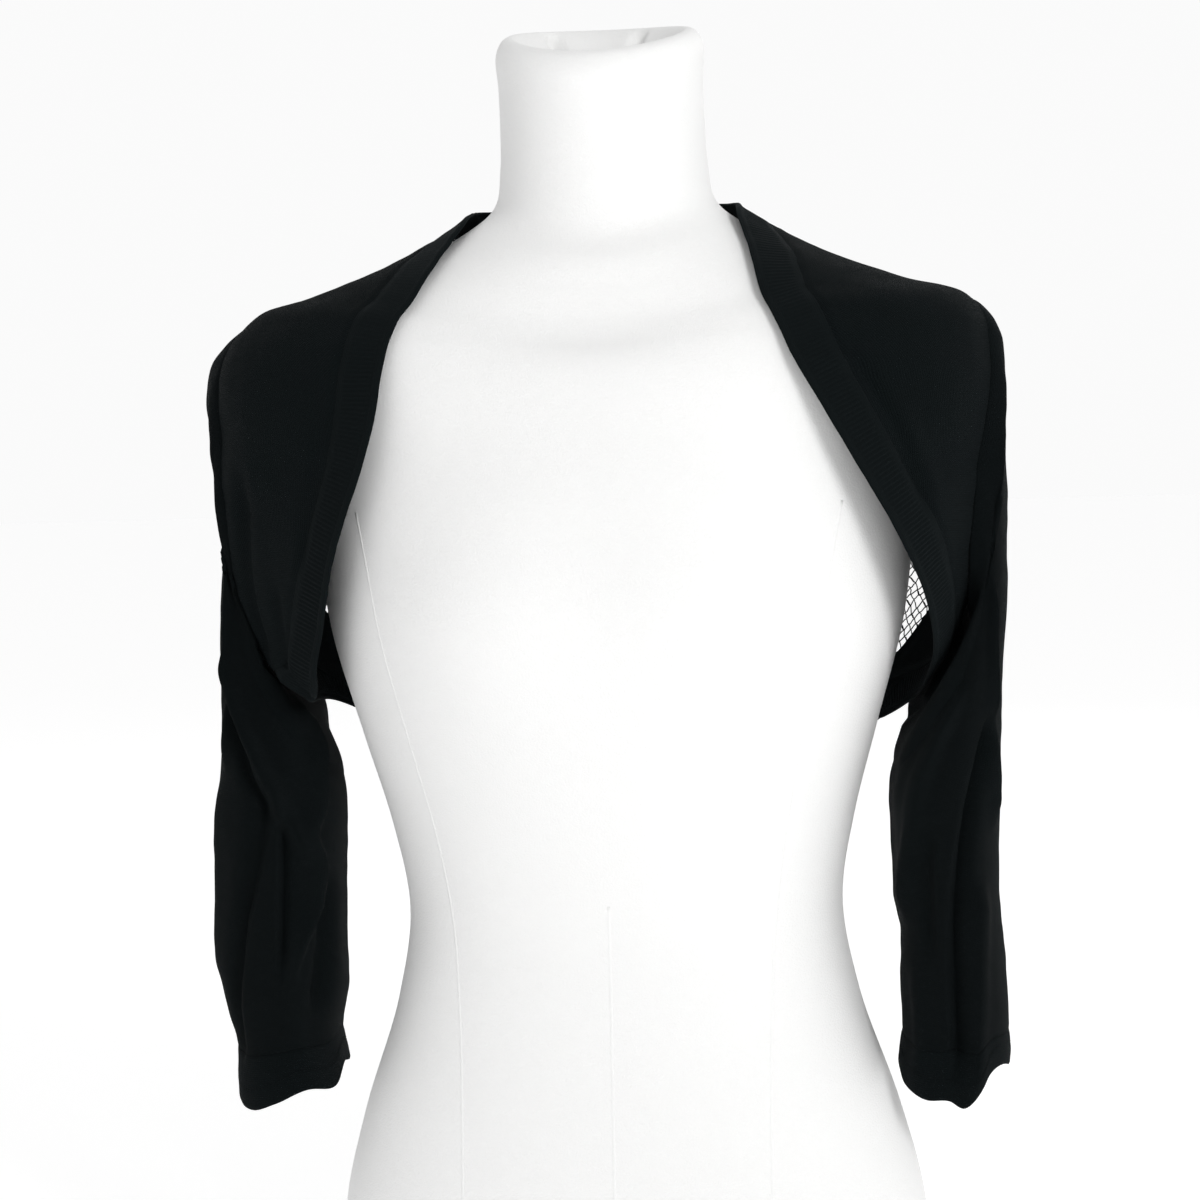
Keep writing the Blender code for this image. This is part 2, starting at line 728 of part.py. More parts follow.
def add_mesh(name, grid, material, collection, wraps=False, flip=False, caps=False):
    """An object from a grid of points in millimetres, as quads between its rows."""
    rows, columns = grid.shape[:2]
    faces = []
    for r in range(rows - 1):
        for c in range(columns if wraps else columns - 1):
            after = (c + 1) % columns
            face = [r * columns + c, r * columns + after, (r + 1) * columns + after, (r + 1) * columns + c]
            faces.append(face[::-1] if flip else face)
    if caps:
        faces.append(list(range(columns))[::-1])
        faces.append([(rows - 1) * columns + c for c in range(columns)])
    mesh = bpy.data.meshes.new(name)
    mesh.from_pydata((grid.reshape(-1, 3) * MM).tolist(), [], faces)
    mesh.update()
    mesh.materials.append(material)
    mesh.shade_smooth()
    thing = bpy.data.objects.new(name, mesh)
    collection.objects.link(thing)
    return thing


def add_wall(thing, outward):
    """Gives an open surface the cloth's thickness, outside or inside its points."""
    wall = thing.modifiers.new("Wall", "SOLIDIFY")
    wall.thickness = CLOTH * MM
    wall.offset = 1.0 if outward else -1.0
    wall.use_even_offset = False
    return thing


def mirrored(points, side):
    """Points of the right-hand side, turned over for the left."""
    return points * np.array([SIDES[side], 1.0, 1.0])


def add_panel(name, grid, side, material, collection, drapes=()):
    """A cloth piece lying on the figure, from its grid of (angle, run)."""
    points = mirrored(cloth_point(grid[..., 0], grid[..., 1], drapes), side)
    panel = add_mesh(name, points, material, collection, flip=not faces_out(points))
    return add_wall(panel, outward=True)


def faces_out(points):
    """Whether a grid's quads, taken row by row, face away from the figure's axis."""
    r, c = points.shape[0] // 2, points.shape[1] // 2
    across = points[r, c] - points[r, c - 1]
    up = points[r, c] - points[r - 1, c]
    outward = points[r, c] * np.array([1.0, 1.0, 0.0])
    return float(np.dot(np.cross(across, up), outward)) > 0


def add_tube(name, grid, side, material, collection):
    """A cloth piece that goes all round, from its outer face."""
    tube = add_mesh(name, mirrored(grid, side), material, collection, wraps=True, flip=side == "left")
    return add_wall(tube, outward=False)


def form_grid():
    """Rings of the dress form from its flat base to the middle of the dish in its neck."""
    turns = np.linspace(0, 360, FORM_COLUMNS, endpoint=False)
    turns = np.where(turns > 180, turns - 360, turns)
    rings = []
    for run in np.linspace(0, NECK_RUN, FORM_ROWS):
        ring = sections_point(FORM_SECTIONS, turns, run)
        lobes = np.zeros_like(turns)
        for middle in (-90 - BUST_TURN, -90 + BUST_TURN):
            lobes = lobes + np.exp(-(((turns - middle) / BUST_SPREAD) ** 2))
        rise = BUST_RISE * np.exp(-(((run - BUST_HEIGHT) / BUST_REACH) ** 2)) * lobes
        reach = np.hypot(ring[:, 0], ring[:, 1])
        ring[:, :2] *= (1 + rise / reach)[:, None]
        rings.append(ring)
    for neck in NECK_RINGS:
        x = neck.radius * np.cos(np.radians(turns))
        y = neck.centre_y + neck.radius * np.sin(np.radians(turns))
        facing = np.sin(np.radians(turns))
        tilt = NECK_TILT * min((neck.height - NECK_TILT_FROM) / NECK_TILT_OVER, 1)
        lean = tilt * facing * neck.radius / NECK_RADIUS
        dip = RIM_DIP * facing**2 * (neck.height > RIM_FROM)
        rings.append(np.stack([x, y, neck.height + lean - dip], axis=-1))
    return np.array(rings)


def clear_scene():
    """Removes every object of the scene."""
    for thing in list(bpy.data.objects):
        bpy.data.objects.remove(thing, do_unlink=True)


def main():
    clear_scene()
    collection = bpy.data.collections.new("Knitted shrug on a dress form")
    bpy.context.scene.collection.children.link(collection)
    knit = paint("Black knit", KNIT_COLOUR, 0.9)
    lace = paint("Black lace", LACE_COLOUR, 0.85)
    jersey = paint("White jersey", JERSEY_COLOUR, 0.8)

    add_mesh("dress_form", form_grid(), jersey, collection, wraps=True, caps=True)
    for side in SIDES:
        add_panel(f"band_{side}", front_band_grid(side), side, knit, collection, FRONT_DRAPES[side])
        add_panel(f"front_{side}", front_grid(side), side, knit, collection, FRONT_DRAPES[side])
        add_tube(f"sleeve_{side}", sleeve_grid(side), side, knit, collection)
        add_tube(f"cuff_{side}", cuff_grid(side), side, knit, collection)
    add_panel("band_neck", neck_band_grid(), "right", knit, collection)
    add_panel("band_hem", hem_band_grid(), "right", knit, collection)
    add_panel("back_lace", back_grid(), "right", lace, collection, BACK_DRAPES)


main()
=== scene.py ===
"""Knitted shrug with a lace back, open over a limbless dress form: the finished pieces.

Every cloth piece is a thin shell on the form of its solid in the frame. Tables are in
millimetres and degrees, as the solids were worked out. An angle round the figure is 0 at
the right side (+X), -90 at the front and 90 at the back. "Run" is the length up the
figure's side, level with its height up to RUN_FLAT and then along the shoulder. Round a
sleeve, a "turn" is 0 on its outer side, 90 in front and 180 next to the body.
"""

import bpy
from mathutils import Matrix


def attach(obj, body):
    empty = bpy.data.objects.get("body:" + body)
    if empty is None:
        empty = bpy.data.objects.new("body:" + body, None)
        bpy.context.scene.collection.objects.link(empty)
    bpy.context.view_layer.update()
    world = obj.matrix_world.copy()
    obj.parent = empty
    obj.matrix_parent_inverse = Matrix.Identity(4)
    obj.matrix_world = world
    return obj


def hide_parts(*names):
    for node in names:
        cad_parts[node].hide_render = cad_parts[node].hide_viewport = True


bl_info = {
    "name": "Knitted Shrug",
    "version": (1, 0, 0),
    "blender": (4, 5, 0),
    "location": "View3D > Sidebar > Shrug",
    "description": "Builds a knitted shrug with a lace back on a dress form",
    "category": "Object",
}

import math
from collections import namedtuple

import bpy
import numpy as np
from bpy.props import FloatProperty, FloatVectorProperty, IntProperty, PointerProperty
from mathutils import Matrix, Vector

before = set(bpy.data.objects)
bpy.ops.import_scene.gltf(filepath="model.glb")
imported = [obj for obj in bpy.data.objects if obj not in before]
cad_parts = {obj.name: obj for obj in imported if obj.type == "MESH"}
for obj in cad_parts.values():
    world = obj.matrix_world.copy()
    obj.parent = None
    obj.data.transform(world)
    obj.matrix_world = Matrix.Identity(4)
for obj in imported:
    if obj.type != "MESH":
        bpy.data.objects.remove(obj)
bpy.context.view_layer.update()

MM = 0.001
WALL = 1.6  # the solids' cloth wall
BAND_WIDTH = 24.0
HEM_WIDTH = 17.0
RUN_FLAT = 560.0
NECK_RUN = 746.0
BACK = 90.0
SLOPE_STEP = 0.5

RingHeight = namedtuple("RingHeight", "run side front back")
RING_HEIGHTS = (
    RingHeight(0, 0, 0, 0),
    RingHeight(300, 300, 300, 300),
    RingHeight(560, 560, 560, 560),
    RingHeight(580, 576, 565, 578),
    RingHeight(600, 588, 570, 590),
    RingHeight(640, 600, 581, 604),
    RingHeight(686, 616, 598, 619),
    RingHeight(726, 635, 617, 635),
    RingHeight(746, 647, 633, 649),
    RingHeight(766, 659, 648, 663),
)

# Sections of the worn cloth: half-width, depth in front and behind, and squareness.
Section = namedtuple("Section", "run width front back square")
CLOTH_SECTIONS = (
    Section(300, 150, 100, 97, 2.2),
    Section(325, 156, 106, 98, 2.2),
    Section(345, 162, 113, 98, 2.2),
    Section(362, 168, 118, 99, 2.2),
    Section(375, 175, 122, 100, 2.2),
    Section(390, 186, 126, 101, 2.2),
    Section(410, 195, 130, 102, 2.2),
    Section(436, 203, 132, 104, 2.2),
    Section(460, 206, 129, 106, 2.25),
    Section(490, 210, 122, 108, 2.3),
    Section(520, 215, 113, 109, 2.35),
    Section(545, 216, 106, 109, 2.4),
    Section(560, 215, 102, 108, 2.4),
    Section(580, 211, 97, 106, 2.4),
    Section(600, 202, 92, 102, 2.35),
    Section(640, 166, 86, 94, 2.3),
    Section(686, 123, 82, 85, 2.2),
    Section(726, 87, 77, 73, 2.1),
    Section(746, 71, 66, 64, 2.0),
    Section(766, 55, 55, 55, 2.0),
)

# Sections of the dress form.
FORM_SECTIONS = (
    Section(0, 168, 93, 120, 2.3),
    Section(40, 170, 95, 124, 2.3),
    Section(85, 166, 94, 120, 2.3),
    Section(133, 154, 90, 106, 2.25),
    Section(200, 132, 84, 91, 2.2),
    Section(250, 124, 82, 84, 2.2),
    Section(300, 132, 92, 83, 2.2),
    Section(350, 146, 111, 87, 2.25),
    Section(405, 162, 124, 93, 2.25),
    Section(450, 169, 119, 98, 2.3),
    Section(500, 177, 107, 102, 2.45),
    Section(545, 190, 98, 102, 2.6),
    Section(560, 193, 95, 101, 2.6),
    Section(580, 193, 91, 99, 2.55),
    Section(600, 186, 86, 94, 2.5),
    Section(640, 154, 79, 86, 2.4),
    Section(686, 113, 74, 76, 2.25),
    Section(726, 78, 68, 64, 2.1),
    Section(746, 63, 59, 56, 2.0),
)
BUST_HEIGHT = 410.0
BUST_RISE = 7.0
BUST_REACH = 46.0
BUST_TURN = 31.0
BUST_SPREAD = 19.0

# Level rings above the shoulders: neck, soft rim and the dish inside it.
NeckRing = namedtuple("NeckRing", "height radius centre_y")
NECK_RINGS = (
    NeckRing(668, 58.5, -1),
    NeckRing(692, 57.5, -3),
    NeckRing(715, 57.5, -5),
    NeckRing(731, 58.5, -6),
    NeckRing(740, 55.5, -6),
    NeckRing(743, 50.0, -6),
    NeckRing(740, 44.5, -6),
    NeckRing(732, 36.0, -6),
    NeckRing(727, 22.0, -6),
)
NECK_TILT = 13.0
NECK_TILT_FROM = 655.0
NECK_TILT_OVER = 60.0
NECK_RADIUS = 58.0
RIM_FROM = 725.0
RIM_DIP = 4.0

# The opening's edge on each side, from the nape down the front and along the back hem.
EdgePoint = namedtuple("EdgePoint", "angle run")
EDGE = {
    "right": (
        EdgePoint(90, 746),
        EdgePoint(60, 746),
        EdgePoint(30, 746),
        EdgePoint(0, 743),
        EdgePoint(-17, 736),
        EdgePoint(-27, 721),
        EdgePoint(-34, 697),
        EdgePoint(-38.5, 660),
        EdgePoint(-40.5, 610),
        EdgePoint(-41, 560),
        EdgePoint(-38.5, 520),
        EdgePoint(-34.5, 485),
        EdgePoint(-28.5, 450),
        EdgePoint(-21.5, 420),
        EdgePoint(-14, 393),
        EdgePoint(-5, 374),
        EdgePoint(7, 360),
        EdgePoint(20, 345),
        EdgePoint(36, 328),
        EdgePoint(60, 318),
        EdgePoint(90, 315),
    ),
    "left": (
        EdgePoint(90, 746),
        EdgePoint(60, 746),
        EdgePoint(30, 746),
        EdgePoint(0, 743),
        EdgePoint(-17, 736),
        EdgePoint(-26, 720),
        EdgePoint(-32.5, 693),
        EdgePoint(-36, 655),
        EdgePoint(-37.5, 610),
        EdgePoint(-39.5, 560),
        EdgePoint(-41, 520),
        EdgePoint(-40, 485),
        EdgePoint(-36, 448),
        EdgePoint(-30.5, 412),
        EdgePoint(-23, 381),
        EdgePoint(-12, 371),
        EdgePoint(5, 366),
        EdgePoint(19, 351),
        EdgePoint(36, 332),
        EdgePoint(60, 319),
        EdgePoint(90, 315),
    ),
}
SHOULDER_EDGE_ANGLE = 0.0
SIDE_EDGE_ANGLE = 18.0

# The armhole from the shoulder tip down the front to the side seam, then up the back.
ArmPoint = namedtuple("ArmPoint", "angle run")
ARM_FRONT = (
    ArmPoint(0, 598),
    ArmPoint(-4, 585),
    ArmPoint(-7.5, 562),
    ArmPoint(-10, 530),
    ArmPoint(-11.5, 495),
    ArmPoint(-12, 460),
    ArmPoint(-10.5, 435),
    ArmPoint(-6.5, 419),
    ArmPoint(0, 412),
    ArmPoint(6.5, 419),
    ArmPoint(10.5, 435),
)
ARM_BACK = (
    ArmPoint(10.5, 435),
    ArmPoint(12, 460),
    ArmPoint(12, 495),
    ArmPoint(10.5, 530),
    ArmPoint(8, 562),
    ArmPoint(4, 585),
    ArmPoint(0, 598),
)

# The hanging part of each sleeve: its outer and inner sides, and its depth each way.
SleeveRing = namedtuple("SleeveRing", "height outer inner front back")
SLEEVE_RINGS = {
    "right": (
        SleeveRing(140, 214, 152, 44, 44),
        SleeveRing(170, 216, 156, 43, 44),
        SleeveRing(200, 216, 156, 45, 45),
        SleeveRing(250, 213, 156, 47, 46),
        SleeveRing(283, 213, 155, 48, 47),
        SleeveRing(325, 215, 156, 49, 48),
        SleeveRing(350, 216, 167, 47, 47),
        SleeveRing(380, 217, 183, 43, 44),
        SleeveRing(414, 220, 192, 40, 42),
        SleeveRing(460, 221, 198, 42, 44),
        SleeveRing(520, 221, 202, 40, 42),
        SleeveRing(560, 219, 204, 36, 38),
    ),
    "left": (
        SleeveRing(140, 226, 164, 46, 45),
        SleeveRing(172, 228, 170, 44, 44),
        SleeveRing(205, 235, 165, 47, 46),
        SleeveRing(250, 235, 164, 49, 47),
        SleeveRing(288, 234, 162, 50, 48),
        SleeveRing(325, 232, 162, 50, 48),
        SleeveRing(350, 230, 170, 48, 47),
        SleeveRing(380, 229, 184, 44, 44),
        SleeveRing(414, 228, 194, 41, 42),
        SleeveRing(460, 224, 201, 42, 44),
        SleeveRing(520, 222, 206, 40, 42),
        SleeveRing(560, 232, 209, 36, 38),
    ),
}
TUBE_SQUARE = 2.3
CAP_TOP = 545.0
CAP_FOOT = 325.0
CAP_LEAN = 1.3
CAP_LEAVES_TOP = (1.0, 0.15, -0.45)
CAP_LEAVES_UNDERARM = (0.35, 0.15, -1.0)
CAP_LEAVE_PULL = {"right": 1.15, "left": 0.7}
CAP_ARRIVE_PULL = 0.9
CLEAR_BELOW = 405.0
HEM_DROP = 4.0
HEM_SLOPE = 1.1
SLEEVE_LIFT = WALL + 0.3
BODY_CLEAR = 2 * WALL + 1.4

# Height of each cuff's lower edge round the sleeve.
CUFF_DEPTH = 25.0
CUFF_LEVEL = 148.0
CUFF_FOLLOWS = 0.35
CUFF_FLARE = 0.05
CUFF_FLARE_BY = 0.7
HemPoint = namedtuple("HemPoint", "turn height")
HEMS = {
    "right": (
        HemPoint(0, 156),
        HemPoint(55, 157),
        HemPoint(76, 141),
        HemPoint(92, 145),
        HemPoint(115, 145),
        HemPoint(145, 151),
        HemPoint(180, 159),
        HemPoint(225, 150),
        HemPoint(270, 142),
        HemPoint(315, 147),
        HemPoint(360, 156),
    ),
    "left": (
        HemPoint(0, 154),
        HemPoint(30, 142),
        HemPoint(55, 139),
        HemPoint(85, 144),
        HemPoint(120, 151),
        HemPoint(150, 149),
        HemPoint(180, 158),
        HemPoint(225, 151),
        HemPoint(280, 142),
        HemPoint(325, 149),
        HemPoint(360, 154),
    ),
}

# Creases and ridges down the sleeves. A route is a list of (turn, height) from its top; a
# positive rise stands out. Its reach is each side's width in millimetres.
SleeveFold = namedtuple("SleeveFold", "rise before after route")
SLEEVE_FOLDS = {
    "right": (
        SleeveFold(-6.5, 7, 4, ((47, 356), (57, 331), (66, 302), (76, 275), (84, 250), (88, 224), (88, 165))),
        SleeveFold(4.0, 8, 6, ((55, 262), (60, 231), (66, 190), (70, 145))),
        SleeveFold(3.5, 5, 5, ((72, 430), (60, 395), (46, 364), (38, 335), (32, 300))),
        SleeveFold(4.5, 6, 9, ((104, 366), (113, 341), (121, 308), (136, 274), (146, 250))),
        SleeveFold(-3.0, 6, 6, ((112, 292), (116, 262), (114, 225))),
        SleeveFold(2.5, 7, 7, ((130, 215), (126, 185), (128, 160))),
        SleeveFold(-7, 12, 12, ((250, 420), (258, 330), (275, 200))),
        SleeveFold(4, 13, 13, ((215, 390), (210, 300), (205, 240))),
        SleeveFold(-5, 11, 11, ((325, 400), (320, 300), (318, 210))),
        SleeveFold(3, 9, 9, ((285, 360), (298, 290), (292, 235))),
        SleeveFold(9, 13, 13, ((218, 450), (218, 425), (216, 400), (212, 360))),
    ),
    "left": (
        SleeveFold(4.5, 42, 42, ((0, 605), (0, 575), (2, 545), (4, 505))),
        SleeveFold(5.0, 4, 7, ((64, 394), (72, 365), (86, 339), (98, 317), (111, 300), (122, 288))),
        SleeveFold(-3.5, 6, 4, ((53, 388), (62, 360), (76, 332), (88, 314))),
        SleeveFold(4.5, 8, 3, ((162, 372), (152, 350), (143, 328), (138, 313), (131, 297))),
        SleeveFold(5.0, 8, 3, ((131, 297), (138, 281), (140, 264), (131, 249), (121, 235), (114, 220))),
        SleeveFold(-6.0, 5, 8, ((146, 268), (148, 250), (142, 225), (136, 196))),
        SleeveFold(-6.0, 3, 4, ((107, 306), (107, 278), (106, 243), (104, 222))),
        SleeveFold(-4.5, 7, 4, ((92, 324), (81, 284), (67, 249), (56, 212), (44, 172))),
        SleeveFold(3.0, 4, 4, ((80, 456), (73, 431), (65, 403), (55, 374), (46, 340))),
        SleeveFold(2.5, 8, 10, ((36, 320), (30, 270), (24, 215))),
        SleeveFold(-7, 12, 12, ((240, 420), (250, 320), (262, 210))),
        SleeveFold(5, 13, 13, ((300, 380), (308, 300), (318, 230))),
        SleeveFold(-4, 10, 10, ((208, 360), (212, 290), (220, 215))),
    ),
}
FOLD_FADE = 26.0
FOLD_GAIN = 1.35
MM_PER_DEGREE = 0.68

# Folds in the fronts, their bands and the tops of the sleeves, and in the back.
Drape = namedtuple("Drape", "top_angle top foot_angle foot rise reach")
FRONT_DRAPES = {
    "right": (Drape(-31, 548, -20, 485, -3.0, 9), Drape(-17, 560, -18, 450, 2.5, 12)),
    "left": (
        Drape(-14, 575, -14, 380, 8.0, 13),
        Drape(-12, 505, -13, 375, 5.0, 11),
        Drape(-27, 505, -25, 400, -4.5, 8),
        Drape(-18, 480, -17, 400, -3.0, 6),
    ),
}
BACK_DRAPES = (
    Drape(58, 560, 66, 380, -3.0, 16),
    Drape(116, 520, 108, 380, -3.0, 18),
)
DRAPE_ENDS = 4.0

# Fine creases in the fronts, beside their bands and armholes.
FINE_DRAPES = {
    "right": (Drape(-32, 560, -24, 468, -3.0, 1.6), Drape(-27, 520, -18, 440, 1.6, 3.0)),
    "left": (
        Drape(-17, 495, -13, 398, -4.2, 1.6),
        Drape(-21, 432, -17, 374, -2.4, 1.5),
        Drape(-13.5, 480, -9, 400, 2.4, 2.0),
        Drape(-33, 520, -28, 440, -2.0, 1.8),
    ),
}

SIDES = {"right": 1.0, "left": -1.0}


# ---------------------------------------------------------------- the worn form


def curve_at(knots, values, at):
    """A smooth curve through (knots, values), read at each value of at."""
    knots = np.asarray(knots, float)
    values = np.asarray(values, float)
    at = np.clip(np.asarray(at, float), knots[0], knots[-1])
    slopes = np.gradient(values, knots)
    i = np.clip(np.searchsorted(knots, at, side="right") - 1, 0, len(knots) - 2)
    width = knots[i + 1] - knots[i]
    t = (at - knots[i]) / width
    a, b = values[i], values[i + 1]
    ma, mb = slopes[i] * width, slopes[i + 1] * width
    return (
        a * (2 * t**3 - 3 * t**2 + 1)
        + b * (3 * t**2 - 2 * t**3)
        + ma * (t**3 - 2 * t**2 + t)
        + mb * (t**3 - t**2)
    )


def column_at(rows, column, at):
    """One column of a table, read smoothly along the table's first column."""
    return curve_at([row[0] for row in rows], [getattr(row, column) for row in rows], at)


def smoothstep(low, high, value):
    """0 below low, 1 above high and a soft rise between."""
    t = np.clip((np.asarray(value, float) - low) / (high - low), 0, 1)
    return t * t * (3 - 2 * t)


def wander(points, size, seed):
    """Gentle unevenness from about -1 to 1, with bumps of about size millimetres."""
    total = 0.0
    for k in range(6):
        a = seed * 1.7 + k * 2.4
        b = seed * 0.9 + k * 1.1
        way = np.array([math.cos(a) * math.cos(b), math.sin(a) * math.cos(b), math.sin(b)])
        total = total + np.sin(points @ way * (math.pi / size) * (1 + 0.23 * k) + seed + 1.9 * k)
    return total / 3.0


def sections_point(sections, angle, run):
    """Point of a lofted figure at an angle round it and a run up it."""
    angle, run = np.broadcast_arrays(np.asarray(angle, float), np.asarray(run, float))
    across = np.cos(np.radians(angle))
    along = np.sin(np.radians(angle))
    ahead = along < 0
    depth = np.where(ahead, column_at(sections, "front", run), column_at(sections, "back", run))
    square = column_at(sections, "square", run)
    width = column_at(sections, "width", run)
    reach = (np.abs(across / width) ** square + np.abs(along / depth) ** square) ** (-1 / square)
    side = column_at(RING_HEIGHTS, "side", run)
    far = np.where(
        ahead, column_at(RING_HEIGHTS, "front", run), column_at(RING_HEIGHTS, "back", run)
    )
    height = side + (far - side) * along**2
    return np.stack([reach * across, reach * along, height], axis=-1)


def drape_rise(drapes, angle, run):
    """How far folds lift the cloth at an angle and a run."""
    rise = np.zeros(np.broadcast(angle, run).shape)
    for fold in drapes:
        part = (fold.top - run) / (fold.top - fold.foot)
        middle = fold.top_angle + (fold.foot_angle - fold.top_angle) * np.clip(part, 0, 1)
        away = (angle - middle) / fold.reach
        fade_in = np.clip(part * DRAPE_ENDS + 0.5, 0, 1)
        ends = fade_in * np.clip((1 - part) * DRAPE_ENDS + 0.5, 0, 1)
        rise = rise + fold.rise * np.exp(-(away**2)) * ends**2 * (3 - 2 * ends)
    return rise


def cloth_slopes(angle, run):
    """How the cloth's plain form moves for one degree round it and one millimetre up it."""
    step = SLOPE_STEP
    turn = cloth_point(angle + step, run) - cloth_point(angle - step, run)
    rise = cloth_point(angle, run + step) - cloth_point(angle, run - step)
    return turn / (2 * step), rise / (2 * step)


def cloth_normal(angle, run):
    """Outward normal of the cloth's plain form."""
    normal = np.cross(*cloth_slopes(angle, run))
    return normal / np.linalg.norm(normal, axis=-1, keepdims=True)


def cloth_point(angle, run, drapes=()):
    """Point of the worn cloth's inner face."""
    point = sections_point(CLOTH_SECTIONS, angle, run)
    if not drapes:
        return point
    return point + drape_rise(drapes, angle, run)[..., None] * cloth_normal(angle, run)


# ---------------------------------------------------------------- seams and outlines


def smooth_route(points, steps_each=24):
    """A table's route as many (angle, run) pairs."""
    knots = np.arange(len(points))
    at = np.linspace(0, len(points) - 1, (len(points) - 1) * steps_each + 1)
    return np.stack(
        [curve_at(knots, [p.angle for p in points], at), curve_at(knots, [p.run for p in points], at)],
        axis=-1,
    )


def lengths_along(points):
    """Distance along a line of points from its start."""
    return np.concatenate([[0], np.cumsum(np.linalg.norm(np.diff(points, axis=0), axis=1))])


def spaced(route, shares):
    """The route read at shares of its length on the cloth."""
    if np.isscalar(shares):
        shares = np.linspace(0, 1, shares + 1)
    length = lengths_along(cloth_point(route[:, 0], route[:, 1]))
    at = shares * length[-1]
    return np.stack([np.interp(at, length, route[:, 0]), np.interp(at, length, route[:, 1])], axis=-1)


def set_in(route, distance):
    """The route moved sideways on the cloth by each point's distance, away from the opening."""
    angle, run = route[:, 0], route[:, 1]
    tangent = np.gradient(cloth_point(angle, run), axis=0)
    tangent /= np.linalg.norm(tangent, axis=1, keepdims=True)
    aside = np.cross(cloth_normal(angle, run), tangent)
    turn, rise = cloth_slopes(angle, run)
    moved = []
    for k in range(len(route)):
        share, *_ = np.linalg.lstsq(np.stack([turn[k], rise[k]], axis=1), aside[k], rcond=None)
        moved.append(route[k] + share * distance[k])
    return np.array(moved)


def across_back(line):
    """A route on one side, in the other side's angles."""
    return np.stack([2 * BACK - line[..., 0], line[..., 1]], axis=-1)


# Stations along the nape from its middle, along a front and along the hem to its middle.
BandSteps = namedtuple("BandSteps", "nape front hem")
PANEL_STEPS = BandSteps(60, 176, 60)
RIB_STEPS = BandSteps(190, 1000, 290)


def band_lines(side, steps):
    """The band's outer edge and its seam line, station by station."""
    route = smooth_route(EDGE[side])
    shoulder = int(np.argmax(route[:, 0] <= SHOULDER_EDGE_ANGLE))
    lower = np.arange(len(route)) > len(route) // 2
    hem = int(np.argmax(lower & (route[:, 0] >= SIDE_EDGE_ANGLE)))
    nape = spaced(route[: shoulder + 1], steps.nape)
    front = spaced(route[shoulder : hem + 1], steps.front)
    back = spaced(route[hem:], steps.hem)
    edge = np.concatenate([nape, front[1:], back[1:]])
    before = across_back(edge[1:3])[::-1]
    after = across_back(edge[-3:-1])[::-1]
    whole = np.concatenate([before, edge, after])
    along_hem = (np.arange(-2, len(edge) + 2) - steps.nape - steps.front) / steps.hem
    narrowing = (BAND_WIDTH - HEM_WIDTH) * np.clip(along_hem, 0, 1)
    seam = set_in(whole, BAND_WIDTH - narrowing)[2:-2]
    seam[[0, -1], 0] = BACK
    return edge, seam


def edged(length, step, fine=(0.0, 0.5, 1.0, 1.6, 2.3, 3.2, 4.4)):
    """Shares of a length that crowd together at both ends, where the seams are."""
    fine = np.array(fine)
    inner = np.linspace(fine[-1], length - fine[-1], max(int(length / step), 2) + 1)[1:-1]
    return np.concatenate([fine, inner, length - fine[::-1]]) / length


def line_between(start, end, shares):
    """A straight seam in (angle, run)."""
    return start[None] + (end - start)[None] * np.asarray(shares)[:, None]


def coons(low, high, start, end, along, up):
    """Grid of (angle, run) inside four routes that meet at their corners."""
    along = along[None, :, None]
    up = up[:, None, None]
    sides = start[:, None] * (1 - along) + end[:, None] * along
    ends = low[None] * (1 - up) + high[None] * up
    corners = (low[0] * (1 - along) + low[-1] * along) * (1 - up) + (
        high[0] * (1 - along) + high[-1] * along
    ) * up
    return sides + ends - corners


def ruled(first, second, shares):
    """Grid of (angle, run) between two routes."""
    shares = np.asarray(shares)[:, None, None]
    return first[None] * (1 - shares) + second[None] * shares


def grid_lengths(points, axis):
    """Distance across a grid of points, along one of its ways."""
    steps = np.linalg.norm(np.diff(points, axis=axis), axis=-1)
    start = np.zeros_like(np.take(steps, [0], axis=axis))
    return np.concatenate([start, np.cumsum(steps, axis=axis)], axis=axis)


def sewn_edge(distance, depth=0.45, width=1.6):
    """Relief beside a seam: the cloth turns in at the seam, behind a faint welt."""
    trough = -depth * np.exp(-((distance / width) ** 2))
    welt = 0.35 * depth * np.exp(-(((distance - 2.2 * width) / width) ** 2))
    return trough + welt


def knit_rest(points):
    """The slight unevenness of knitted cloth that hangs."""
    return 0.35 * wander(points, 34.0, 1.0) + 0.16 * wander(points, 13.0, 2.0)


# ---------------------------------------------------------------- meshes


def mirrored(points, side):
    """Points of the right-hand side, turned over for the left."""
    return points * np.array([SIDES[side], 1.0, 1.0])


def faces_out(points):
    """Whether a grid's quads, taken row by row, face away from the figure's axis."""
    r, c = points.shape[0] // 2, points.shape[1] // 2
    across = points[r, c] - points[r, c - 1]
    up = points[r, c] - points[r - 1, c]
    outward = points[r, c] * np.array([1.0, 1.0, 0.0])
    return float(np.dot(np.cross(across, up), outward)) > 0


def grid_faces(rows, columns, wraps=False, flip=False):
    """Quads between the rows of a grid."""
    r, c = np.meshgrid(np.arange(rows - 1), np.arange(columns if wraps else columns - 1), indexing="ij")
    after = (c + 1) % columns
    quads = np.stack(
        [r * columns + c, r * columns + after, (r + 1) * columns + after, (r + 1) * columns + c], axis=-1
    ).reshape(-1, 4)
    return quads[:, ::-1] if flip else quads


# A cloth piece is named after its node with this ending, so the two stay apart.
CLOTH = "_cloth"


